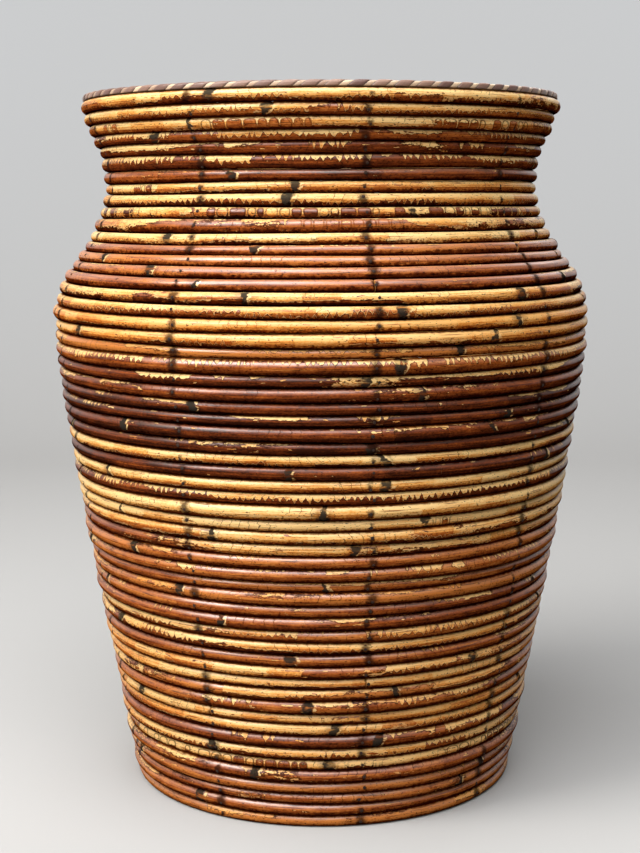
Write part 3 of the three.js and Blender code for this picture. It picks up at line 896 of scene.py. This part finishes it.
def peel_material():
    """Glossy strips of peel, brown and cream in turn."""
    rim = bpy.context.scene.vase_rim
    scar = bpy.context.scene.vase_reed.scar
    material, g, shader = new_material("rim_peel_strips")
    metres, strips = g.map("StripMap")
    along = g.times(metres, MM_PER_M)
    place_in_pair = g.math("FRACT", strips)
    halves = g.times(strips, 2.0)
    number = g.chance(g.math("FLOOR", halves))
    across = g.math("FRACT", halves)
    cream = g.step(place_in_pair, 0.498, 0.502)
    fibre, cloud = g.fibre(along, g.times(strips, 9.0), 9.0, 0.6, 5.0)
    shade_of = g.total(g.sway(number, 0.9), g.sway(cloud, 0.9), g.sway(fibre, 0.7))
    dark = g.mix(g.total(0.5, shade_of), blend(rim.brown, scar, 0.45), blend(rim.brown, rim.cream, 0.25))
    light = g.mix(g.total(0.62, shade_of), blend(rim.cream, rim.brown, 0.8), rim.cream)
    tone = g.mix(cream, dark, light)
    # Dark lines along the edges of every strip: dark joints, partly painted shade where one strip overlaps
    # the next.
    border = g.math("ABSOLUTE", g.about(across, 0.5, 2.0))
    tone = g.mix(g.step(g.total(border, g.sway(fibre, 0.12)), 0.86, 0.97, 0.0, 0.75), tone, scar)
    rough = g.total(0.22, g.times(fibre, 0.3))
    normal = g.bump(0.4, 0.0002, fibre)
    g.shade(shader, Base_Color=tone, Roughness=rough, Normal=normal, Specular_IOR_Level=0.45)
    return material


def cane_material(name, map_name=None):
    """Raw split cane or rod, with fibres along it. Without a map they run round the vase's axis."""
    inside = bpy.context.scene.vase_frame
    material, g, shader = new_material(name)
    if map_name:
        along, across = (g.times(axis, MM_PER_M) for axis in g.map(map_name))
    else:
        mean_radius_mm = 160.0
        axes = g.split(g.position())
        along = g.times(g.math("ARCTAN2", axes[0], axes[1]), mean_radius_mm)
        across = g.times(axes[2], MM_PER_M)
    fibre, cloud = g.fibre(along, across, 22.0, 0.5, 3.0)
    light = g.total(0.5, g.sway(fibre, 1.5), g.sway(cloud, 1.2))
    tone = g.mix(light, inside.cane_dark, inside.cane_pale)
    pores = g.fibre(along, across, 5.0, 0.25, 19.0)[0]
    tone = g.mix(g.step(pores, 0.62, 0.70, 0.0, 0.6), tone, inside.cane_dark)
    rough = g.total(0.52, g.times(fibre, 0.25))
    normal = g.bump(0.6, 0.0003, g.total(fibre, g.times(pores, -0.5)))
    g.shade(shader, Base_Color=tone, Roughness=rough, Normal=normal, Specular_IOR_Level=0.3)
    return material


def board_material():
    """Raw planks side by side, with grain, seams and dust."""
    inside = bpy.context.scene.vase_frame
    width = 2 * bpy.context.scene.vase_wall.foot_radius * MM_PER_M / inside.planks
    material, g, shader = new_material("board_planks")
    along, across, up = (g.times(axis, MM_PER_M) for axis in g.split(g.position())[:3])
    strip = g.math("DIVIDE", g.total(across, width * inside.planks / 2), width)
    plank = g.math("FLOOR", strip)
    shifted = g.total(along, g.times(plank, 417.0))
    deep = g.total(across, g.times(up, 0.8))
    fibre, cloud = g.fibre(shifted, deep, 38.0, 0.9, 7.0)
    wander = g.noise(g.vector(g.math("DIVIDE", shifted, 160.0), g.math("DIVIDE", deep, 55.0), plank))
    year = g.math("PINGPONG", g.total(g.math("DIVIDE", deep, 3.6), g.times(wander, 14.0)), 1.0)
    light = g.total(
        0.5, g.sway(year, 0.55), g.sway(fibre, 0.9), g.sway(cloud, 0.8), g.sway(g.chance(plank), 0.4))
    tone = g.mix(light, inside.board_dark, inside.board_pale)
    seam = g.math("ABSOLUTE", g.about(g.math("FRACT", strip), 0.5, 2.0))
    seam = g.step(seam, 0.985, 0.993)
    tone = g.mix(g.times(seam, 0.85), tone, inside.board_seam)
    rough = g.total(0.58, g.times(fibre, 0.25))
    normal = g.bump(0.5, 0.0005, g.total(g.times(fibre, 0.6), g.times(year, 0.3), g.times(seam, -1.5)))
    g.shade(shader, Base_Color=tone, Roughness=rough, Normal=normal, Specular_IOR_Level=0.3)
    return material


def iron_material():
    """Darkened iron with rust."""
    inside = bpy.context.scene.vase_frame
    material, g, shader = new_material("nail_iron_dark")
    spot = g.position()
    pit = g.noise(spot, 4200.0)
    rusty = g.step(g.noise(spot, 900.0, 3.0), 0.44, 0.60)
    tone = g.mix(rusty, inside.iron, g.mix(pit, inside.rust, inside.iron))
    rough = g.total(0.55, g.times(rusty, 0.25))
    metal = g.total(0.3, g.times(rusty, -0.25))
    normal = g.bump(0.4, 0.0001, pit)
    g.shade(shader, Base_Color=tone, Roughness=rough, Metallic=metal, Normal=normal, Specular_IOR_Level=0.25)
    return material


# Reeds

def collar_places(reed, total, rng):
    """Distances along a length of reed of its growth rings."""
    places = []
    at = rng.uniform(reed.collar_near, reed.collar_far) / 2
    while at < total or not places:
        places.append(at)
        at += rng.uniform(reed.collar_near, reed.collar_far)
    return np.array(places)


def reed_piece(wall, index, start, end, begun, material, rng):
    """One length of reed, with its growth rings, thinned or cut ends and maps. Returns its length."""
    reed = wall.reed
    per_turn = reed.steps * reed.ribs
    first = math.ceil(start * per_turn + END_MARGIN)
    last = math.floor(end * per_turn - END_MARGIN)
    turns = np.concatenate(([start], np.arange(first, last + 1) / per_turn, [end]))
    azimuth, radius, height, tr, tz, half = wall.course(turns)
    centres = place(radius, azimuth, height)
    run = run_along(centres)
    total = run[-1]
    collars = collar_places(reed, total, rng)
    collar = run - collars[np.abs(run[:, None] - collars[None]).argmin(1)]
    swell = 1 + reed.collar_swell * hump(collar, COLLAR_WIDTH)
    swell -= NECK_DEPTH * reed.collar_swell * hump(collar - NECK_PLACE, NECK_WIDTH)
    swell *= 1 - END_DEPTH * hump(np.minimum(run, total - run), END_WIDTH)
    phases = rng.uniform(0, TURN, 3)
    quick, slow = (np.sin(run / wave + phase) for wave, phase in zip(WAVER_LENGTHS, phases))
    swell *= WAVER_LEVEL + WAVER_DEPTH * quick * slow
    half = half * swell

    sides = reed.sides
    turn = np.linspace(-math.pi, math.pi, sides, endpoint=False)
    out = np.cos(turn)[None] * half[:, None]
    up = np.sin(turn)[None] * half[:, None]
    ring_radius = radius[:, None] + out * tz[:, None] + up * tr[:, None]
    ring_height = height[:, None] - out * tr[:, None] + up * tz[:, None]
    points = place(ring_radius, azimuth[:, None], ring_height).reshape(-1, 3)
    points = np.concatenate((points, centres[[0, -1]]))
    rings = len(turns)
    faces = (grid_faces(rings, sides), end_caps(rings, sides))
    piece = mesh_object(f"wound_reed_{index + 1:02d}", points, faces)

    values = dict(zip(("worn", "stain", "flaking"), wall.traits(turns).T))
    values.update(collar=collar, brad=wall.to_brad(azimuth) * radius)
    for name, value in values.items():
        point_values(piece, name, np.concatenate((np.repeat(value, sides), value[[0, -1]])))
    ring, side = grid_corners(rings - 1, sides)
    spread = np.stack((begun + run[ring], side / sides), -1).reshape(-1, 2)
    caps = 2 * sides
    corner_map(piece, "ReedMap", np.concatenate((spread, np.full((caps * 3, 2), (begun, 0.0)))))
    bake = bake_rows(ring, side, rings - 1, sides, REED_MAP_ROWS)
    corner_map(piece, "OFBake", np.concatenate((bake, np.tile(CAP_CORNERS, (caps, 1)))))
    node = f"reed_{index + 1:02d}"
    dress(piece, slot_of(node), material, node)
    return total


class VASE_OT_wind_reeds(bpy.types.Operator):
    """Winds the wall from lengths of reed"""
    bl_idname = "vase.wind_reeds"
    bl_label = "Wind Reeds"

    def execute(self, context):
        wall = Wall()
        reed = wall.reed
        material = reed_material()
        rng = np.random.default_rng(reed.seed + 1)
        ends = wall.ends()
        begun = 0.0
        half_gap = reed.joint_gap / 2 / (TURN * context.scene.vase_wall.neck_radius)
        for index in range(reed.lengths):
            start = ends[index] + (half_gap if index else 0.0)
            end = ends[index + 1] - (half_gap if index + 1 < reed.lengths else 0.0)
            begun += reed_piece(wall, index, start, end, begun, material, rng) + REED_MAP_GAP
        return {"FINISHED"}


class VASE_OT_drive_brads(bpy.types.Operator):
    """Drives a small brad through each course into each rib"""
    bl_idname = "vase.drive_brads"
    bl_label = "Drive Brads"

    def execute(self, context):
        wall = Wall()
        reed = wall.reed
        rng = np.random.default_rng(reed.seed + 2)
        first = math.ceil((wall.start - reed.rib_azimuth) / wall.bay)
        bays = first + np.arange((reed.courses - 1) * reed.ribs)
        azimuth = reed.rib_azimuth + bays * wall.bay + wall.brad_stray(bays)
        turns = (azimuth - wall.start) / TURN
        azimuth, radius, height, tr, tz, half = wall.course(turns)
        tilt = rng.normal(0.0, BRAD_TILT, len(bays))
        out, up = np.cos(tilt), np.sin(tilt)
        normal_radius = out * tz + up * tr
        normal_height = -out * tr + up * tz
        normal = place(normal_radius, azimuth, normal_height)
        aside = place(np.ones_like(azimuth), azimuth + math.pi / 2, 0.0)
        third = np.cross(normal, aside)
        seat = place(radius + half * normal_radius, azimuth, height + half * normal_height)
        size = rng.uniform(*BRAD_SIZES, len(bays))[:, None]

        around = np.linspace(0, TURN, BRAD_SIDES, endpoint=False)
        rings = []
        for ring_radius, ring_height in BRAD_DOME:
            for a in around:
                flat = (math.cos(a) * aside + math.sin(a) * third) * reed.brad_radius * ring_radius * size
                rings.append(seat + flat + normal * reed.brad_height * ring_height)
        rings.append(seat - normal * reed.brad_height)
        rings.append(seat + normal * reed.brad_height)
        points = np.stack(rings, 1)
        per_brad = points.shape[1]
        start = (np.arange(len(bays)) * per_brad)[:, None, None]
        quads = (grid_faces(len(BRAD_DOME), BRAD_SIDES)[None] + start).reshape(-1, 4)
        caps = (end_caps(len(BRAD_DOME), BRAD_SIDES)[None] + start).reshape(-1, 3)
        piece = mesh_object("brads", points.reshape(-1, 3), (quads, caps))
        dress(piece, "nail_iron", iron_material())
        return {"FINISHED"}


# Rim

def rim_path(outer, inner, low, high, corner):
    """Radii and heights from the outer foot of the binding over its top to the inner foot."""
    arc = np.linspace(0, math.pi / 2, RIM_ARC_POINTS)
    rise = [(outer, low), (outer, (low + high - corner) / 2)]
    outer_arc = [(outer - corner + corner * math.cos(a), high - corner + corner * math.sin(a)) for a in arc]
    top = [(r, high) for r in np.linspace(outer - corner, inner + corner, RIM_TOP_POINTS)[1:-1]]
    inner_arc = [(inner + corner - corner * math.sin(a), high - corner + corner * math.cos(a)) for a in arc]
    fall = [(inner, (low + high - corner) / 2), (inner, low)]
    return np.array(rise + outer_arc + top + inner_arc + fall)


class VASE_OT_bind_rim(bpy.types.Operator):
    """Binds the rim with slanting strips of peel"""
    bl_idname = "vase.bind_rim"
    bl_label = "Bind Rim"

    def execute(self, context):
        rim = context.scene.vase_rim
        outer = context.scene.vase_wall.mouth_radius + rim.overhang
        inner = outer - rim.width
        skin = rim_path(outer, inner, rim.low, rim.high, rim.corner)
        peel = rim.peel
        lining = rim_path(outer - peel, inner + peel, rim.low, rim.high - peel, rim.corner - peel)
        run = run_along(skin)
        tangent = np.gradient(skin, run, axis=0)
        normal = np.stack((tangent[:, 1], -tangent[:, 0]), -1)

        rng = np.random.default_rng(context.scene.vase_reed.seed + 3)
        columns = []
        for pair in range(rim.pairs):
            brown = rim.brown_share + rng.normal(0, STRIP_SPREAD)
            cream = 1 - brown
            lift = rng.uniform(*STRIP_LIFTS, 2) * rim.relief
            columns += [(pair + brown * q, pair + 0.5 * q, h * lift[0]) for q, h in BROWN_STRIP]
            columns += [(pair + brown + cream * q, pair + 0.5 + 0.5 * q, h * lift[1]) for q, h in CREAM_STRIP]
        turn, strip, relief = np.array(columns).T
        azimuth = turn * TURN / rim.pairs
        lean = rim.lean * (run - run.mean()) / outer
        top = skin[None] + normal[None] * relief[:, None, None]
        top = place(top[..., 0], azimuth[:, None] + lean[None], top[..., 1])
        under = place(lining[None, ::-1, 0], azimuth[:, None] + lean[None, ::-1], lining[None, ::-1, 1])
        points = np.concatenate((top, under), 1)
        rings, sides = points.shape[:2]
        faces = grid_faces(rings, sides, ring_loop=True)
        piece = mesh_object("rim_strips", points.reshape(-1, 3), (faces[:, ::-1],))

        ring, side = (axis[:, ::-1] for axis in grid_corners(rings, sides))
        strip = np.append(strip, rim.pairs)
        section = np.concatenate((run, run[::-1], run[:1]))
        corner_map(piece, "StripMap", np.stack((section[side], strip[ring]), -1).reshape(-1, 2))
        corner_map(piece, "OFBake", bake_rows(ring, side, rings, sides, RIM_MAP_ROWS))
        dress(piece, slot_of("rim_binding"), peel_material(), "rim_binding")
        return {"FINISHED"}


# Frame inside the reeds

def hoop_seats(wall):
    """Names, heights and seat radii of the hoops."""
    inside = bpy.context.scene.vase_frame
    shape = bpy.context.scene.vase_wall
    heights = (inside.waist_height, shape.belly_height, shape.height - inside.mouth_drop)
    depth = inside.rib_seat + inside.rib_thickness
    names = ("waist_hoop", "belly_hoop", "mouth_hoop")
    return [(name, z, wall.radius_at(z, depth) + inside.hoop_notch) for name, z in zip(names, heights)]


class VASE_OT_bend_ribs(bpy.types.Operator):
    """Bends the split ribs to the wall and notches them for the hoops"""
    bl_idname = "vase.bend_ribs"
    bl_label = "Bend Ribs"

    def execute(self, context):
        wall = Wall()
        inside = context.scene.vase_frame
        material = cane_material("rib_split_cane", "GrainMap")
        half_notch = inside.hoop_diameter / 2 + inside.fit
        stops = [0.0, wall.length]
        notches = []
        for _, z, _ in hoop_seats(wall):
            edges = np.interp((z - half_notch, z + half_notch), wall.points[:, 1], wall.along)
            notches.append(edges)
            stops += [edge + step for edge in edges for step in (-NOTCH_EDGE, NOTCH_EDGE)]
        distance = np.unique(np.concatenate((stops, np.linspace(0, wall.length, RIB_RINGS))))
        notched = np.zeros(len(distance), bool)
        for low, high in notches:
            notched |= (distance > low) & (distance < high)
        radius, height, tr, tz = wall.at(distance)
        aside, depth = np.array(RIB_SECTION).T
        limit = np.where(notched, 1 - inside.hoop_notch / inside.rib_thickness, 1.0)
        depth = np.minimum(depth[None], limit[:, None]) * inside.rib_thickness + inside.rib_seat
        aside = aside * inside.rib_width / 2
        section_radius = radius[:, None] - depth * tz[:, None]
        section_height = height[:, None] + depth * tr[:, None]
        rings, sides = section_radius.shape
        ring, side = grid_corners(rings - 1, sides)
        girth = np.linspace(0, 2 * inside.rib_width, sides + 1)
        spread = np.stack((distance[ring], girth[side]), -1).reshape(-1, 2)
        spread = np.concatenate((spread, np.tile(spread[:1], (2 * sides * 3, 1))))
        faces = (grid_faces(rings, sides), end_caps(rings, sides))
        rng = np.random.default_rng(wall.reed.seed + 4)
        for rib in range(wall.reed.ribs):
            azimuth = wall.reed.rib_azimuth + rib * wall.bay
            phases = rng.uniform(0, TURN, 2)
            width = 1.0
            for (wave, swing), phase in zip(RIB_WAVES, phases):
                width = width + swing * np.sin(distance / wave + phase)
            sideways = np.array((math.cos(azimuth), math.sin(azimuth), 0.0))
            points = place(section_radius, azimuth, section_height)
            points = points + (aside[None] * width[:, None])[..., None] * sideways
            points = np.concatenate((points.reshape(-1, 3), points[[0, -1]].mean(1)))
            piece = mesh_object(f"split_rib_{rib + 1}", points, faces)
            corner_map(piece, "GrainMap", spread + np.array((rib * RIB_MAP_GAP, 0.0)))
            dress(piece, slot_of("rib_1"), material, f"rib_{rib + 1}")
        return {"FINISHED"}


class VASE_OT_seat_hoops(bpy.types.Operator):
    """Seats the hoops of round rod in the ribs"""
    bl_idname = "vase.seat_hoops"
    bl_label = "Seat Hoops"

    def execute(self, context):
        wall = Wall()
        inside = context.scene.vase_frame
        material = cane_material("hoop_rattan_rod", "GrainMap")
        rng = np.random.default_rng(wall.reed.seed + 5)
        azimuth = np.arange(HOOP_RINGS) * TURN / HOOP_RINGS
        turn = np.arange(HOOP_SIDES) * TURN / HOOP_SIDES
        ring, side = grid_corners(HOOP_RINGS, HOOP_SIDES)
        faces = (grid_faces(HOOP_RINGS, HOOP_SIDES, ring_loop=True),)
        rod = inside.hoop_diameter / 2
        for index, (name, z, seat) in enumerate(hoop_seats(wall)):
            phases = rng.uniform(0, TURN, 2)
            collars = rng.uniform(0, TURN, HOOP_COLLARS)
            off = np.abs((azimuth[:, None] - collars + math.pi) % TURN - math.pi).min(1) * seat
            slow, quick = (np.sin(turns * azimuth + phase) for turns, phase in zip(HOOP_WAVES, phases))
            thick = HOOP_LEVEL + HOOP_SWELL * hump(off, HOOP_COLLAR_WIDTH)
            thick -= HOOP_WAVER * (1 + slow * quick)
            rod_radius = rod * thick[:, None]
            ring_radius = seat - inside.fit - rod + rod_radius * np.cos(turn)
            points = place(ring_radius, azimuth[:, None], z + rod_radius * np.sin(turn))
            piece = mesh_object(f"rod_{name}", points.reshape(-1, 3), faces)
            run = ring * TURN * seat / HOOP_RINGS + HOOP_MAP_GAP * index
            spread = np.stack((run, side * TURN * rod / HOOP_SIDES), -1)
            corner_map(piece, "GrainMap", spread.reshape(-1, 2))
            dress(piece, slot_of(name), material, name)
        return {"FINISHED"}


class VASE_OT_cut_board(bpy.types.Operator):
    """Cuts the base board to a disc with notches for the ribs and worn edges"""
    bl_idname = "vase.cut_board"
    bl_label = "Cut Board"

    def outline(self, wall, inset):
        """Outer line of the board, a little inside its full size."""
        inside = bpy.context.scene.vase_frame
        reed = wall.reed
        flat = math.sqrt(math.cos(wall.half_facet))
        foot = wall.points[0, 0]
        rib_depth = (inside.rib_seat + inside.rib_thickness) * wall.tangents[0, 1]
        radius = flat * (foot - reed.diameter / 2) - inside.fit
        notch = flat * (foot - rib_depth) - inside.fit
        half = inside.rib_width / 2 + inside.fit
        radius, notch, half = radius - inset, notch - inset, half + inset
        edge = math.asin(half / radius)
        points = []
        for rib in range(reed.ribs):
            azimuth = reed.rib_azimuth + rib * wall.bay
            out = np.array((math.sin(azimuth), -math.cos(azimuth)))
            aside = np.array((math.cos(azimuth), math.sin(azimuth)))
            rim = radius * math.cos(edge)
            points += [out * rim - aside * half, out * notch - aside * half, out * notch + aside * half]
            for a in np.linspace(azimuth + edge, azimuth + wall.bay - edge, BOARD_ARC_POINTS)[:-1]:
                points.append(radius * np.array((math.sin(a), -math.cos(a))))
        return np.array(points)

    def execute(self, context):
        wall = Wall()
        inside = context.scene.vase_frame
        bevel, top = inside.board_bevel, inside.board_thickness
        worn = 0.3 * bevel
        levels = (
            (bevel, 0.0), (worn, worn), (0.0, bevel), (0.0, top - bevel), (worn, top - worn), (bevel, top))
        rings = []
        for inset, height in levels:
            flat = self.outline(wall, inset)
            rings.append(np.column_stack((flat, np.full(len(flat), height))))
        sides = len(rings[0])
        points = np.concatenate((*rings, [(0, 0, 0), (0, 0, top)]))
        faces = (grid_faces(len(rings), sides)[:, ::-1], end_caps(len(rings), sides)[:, ::-1])
        piece = mesh_object("planked_board", points, faces)
        piece.data.polygons.foreach_set("use_smooth", np.zeros(len(piece.data.polygons), bool))
        dress(piece, slot_of("base_board"), board_material(), "base_board")
        return {"FINISHED"}


class VASE_OT_finish_hidden(bpy.types.Operator):
    """Gives the nails and the rim's core, which keep their solids, their finish"""
    bl_idname = "vase.finish_hidden"
    bl_label = "Finish Nails and Core"

    def execute(self, context):
        finishes = {name: bpy.data.materials["nail_iron_dark"] for name in frame["nodes"] if "nail" in name}
        finishes["rim_core"] = cane_material("core_rattan")
        for name, finish in finishes.items():
            materials = frame["nodes"][name].data.materials
            materials.clear()
            materials.append(finish)
        return {"FINISHED"}


# Stage

def area_light(name, power, size, spot, aim_height, tint):
    """A lamp that faces a point on the vase's axis."""
    data = bpy.data.lights.new(name, "AREA")
    data.energy = power
    data.shape = "RECTANGLE"
    data.size, data.size_y = size
    data.color = tint
    lamp = bpy.data.objects.new(name, data)
    lamp.location = spot
    facing = Vector((0.0, 0.0, aim_height)) - Vector(spot)
    lamp.rotation_euler = facing.to_track_quat("-Z", "Y").to_euler()
    bpy.context.scene.collection.objects.link(lamp)


def sweep_floor():
    """A floor that curves up into a backdrop."""
    half, front, back, rise, bend = 4.0, -4.0, 2.4, 3.0, 1.0
    arc = np.linspace(0, math.pi / 2, FLOOR_ARC_POINTS)[1:]
    path = [(front, 0.0), (back - bend, 0.0)]
    path += [(back - bend + bend * math.sin(a), bend - bend * math.cos(a)) for a in arc]
    path.append((back, rise))
    points = [(x, y, z) for y, z in path for x in (-half, half)]
    return mesh_object("floor_sweep", points, (grid_faces(len(path), 2, side_loop=False)[:, ::-1],))


class VASE_OT_build_stage(bpy.types.Operator):
    """Makes the floor, the light and the camera"""
    bl_idname = "vase.build_stage"
    bl_label = "Build Stage"

    def execute(self, context):
        scene = context.scene
        self.set_camera(scene, scene.vase_stage)
        self.lay_floor(scene.vase_stage)
        self.light_up(scene, scene.vase_stage)
        scene.view_settings.view_transform = "Standard"
        return {"FINISHED"}

    def set_camera(self, scene, stage):
        data = bpy.data.cameras.new("camera")
        data.lens = stage.lens
        data.sensor_width = stage.sensor
        camera = bpy.data.objects.new("camera", data)
        tilt = Matrix.Rotation(math.pi / 2 - stage.camera_pitch, 4, "X")
        roll = Matrix.Rotation(stage.camera_roll, 4, "Z")
        spot = Vector((stage.camera_shift, -stage.camera_distance, stage.camera_height))
        camera.matrix_world = Matrix.Translation(spot) @ tilt @ roll
        scene.collection.objects.link(camera)
        scene.camera = camera

    def lay_floor(self, stage):
        """A matt floor that far off, where it is looked at, fades into the backdrop's own light."""
        material, g, shader = new_material("pale_floor")
        away = g.node("ShaderNodeVectorMath", {0: g.position()}, operation="LENGTH").outputs["Value"]
        far = g.times(g.shown(), g.step(away, stage.fade_near, stage.fade_far))
        tone = g.mix(far, g.mix(g.shown(), stage.bounce, stage.floor), (0.0, 0.0, 0.0))
        g.shade(shader, Base_Color=tone, Roughness=0.75, Specular_IOR_Level=0.2,
                Emission_Color=stage.sky, Emission_Strength=g.times(far, stage.horizon))
        floor = sweep_floor()
        floor.data.materials.append(material)

    def light_up(self, scene, stage):
        """The lamps, and a faint sky with a pale band that is looked at near the horizon."""
        band_top, band_full = 0.42, 0.18
        world = bpy.data.worlds.new("studio")
        world.use_nodes = True
        g = Graph(world.node_tree)
        height = g.split(g.node("ShaderNodeTexCoord").outputs["Generated"])[2]
        band = g.times(g.shown(), g.step(height, band_top, band_full))
        strength = g.step(band, 0.0, 1.0, stage.ambient, stage.horizon)
        g.shade(world.node_tree.nodes["Background"], Color=stage.sky, Strength=strength)
        scene.world = world
        for lamp in LAMPS:
            area_light(*lamp)


# Panel and registration

class VASE_PT_panel(bpy.types.Panel):
    """Lists the steps that build the vase, and their settings"""
    bl_idname = "VASE_PT_panel"
    bl_label = "Reed Vase"
    bl_space_type = "VIEW_3D"
    bl_region_type = "UI"
    bl_category = "Vase"

    def draw(self, context):
        for operator in OPERATORS:
            self.layout.operator(operator.bl_idname)
        for group, kind in SETTINGS.items():
            box = self.layout.box()
            for name in kind.__annotations__:
                box.prop(getattr(context.scene, group), name)


SETTINGS = {
    "vase_wall": VASE_PG_wall,
    "vase_reed": VASE_PG_reed,
    "vase_rim": VASE_PG_rim,
    "vase_frame": VASE_PG_frame,
    "vase_stage": VASE_PG_stage,
}
OPERATORS = (
    VASE_OT_build_stage, VASE_OT_wind_reeds, VASE_OT_drive_brads, VASE_OT_bind_rim, VASE_OT_bend_ribs,
    VASE_OT_seat_hoops, VASE_OT_cut_board, VASE_OT_finish_hidden,
)
CLASSES = (*SETTINGS.values(), *OPERATORS, VASE_PT_panel)


def register():
    for item in CLASSES:
        bpy.utils.register_class(item)
    for name, group in SETTINGS.items():
        setattr(bpy.types.Scene, name, PointerProperty(type=group))


def unregister():
    for name in SETTINGS:
        delattr(bpy.types.Scene, name)
    for item in reversed(CLASSES):
        bpy.utils.unregister_class(item)


def main():
    register()
    bpy.ops.vase.build_stage()
    bpy.ops.vase.wind_reeds()
    bpy.ops.vase.drive_brads()
    bpy.ops.vase.bind_rim()
    bpy.ops.vase.bend_ribs()
    bpy.ops.vase.seat_hoops()
    bpy.ops.vase.cut_board()
    bpy.ops.vase.finish_hidden()


if __name__ == "__main__":
    main()
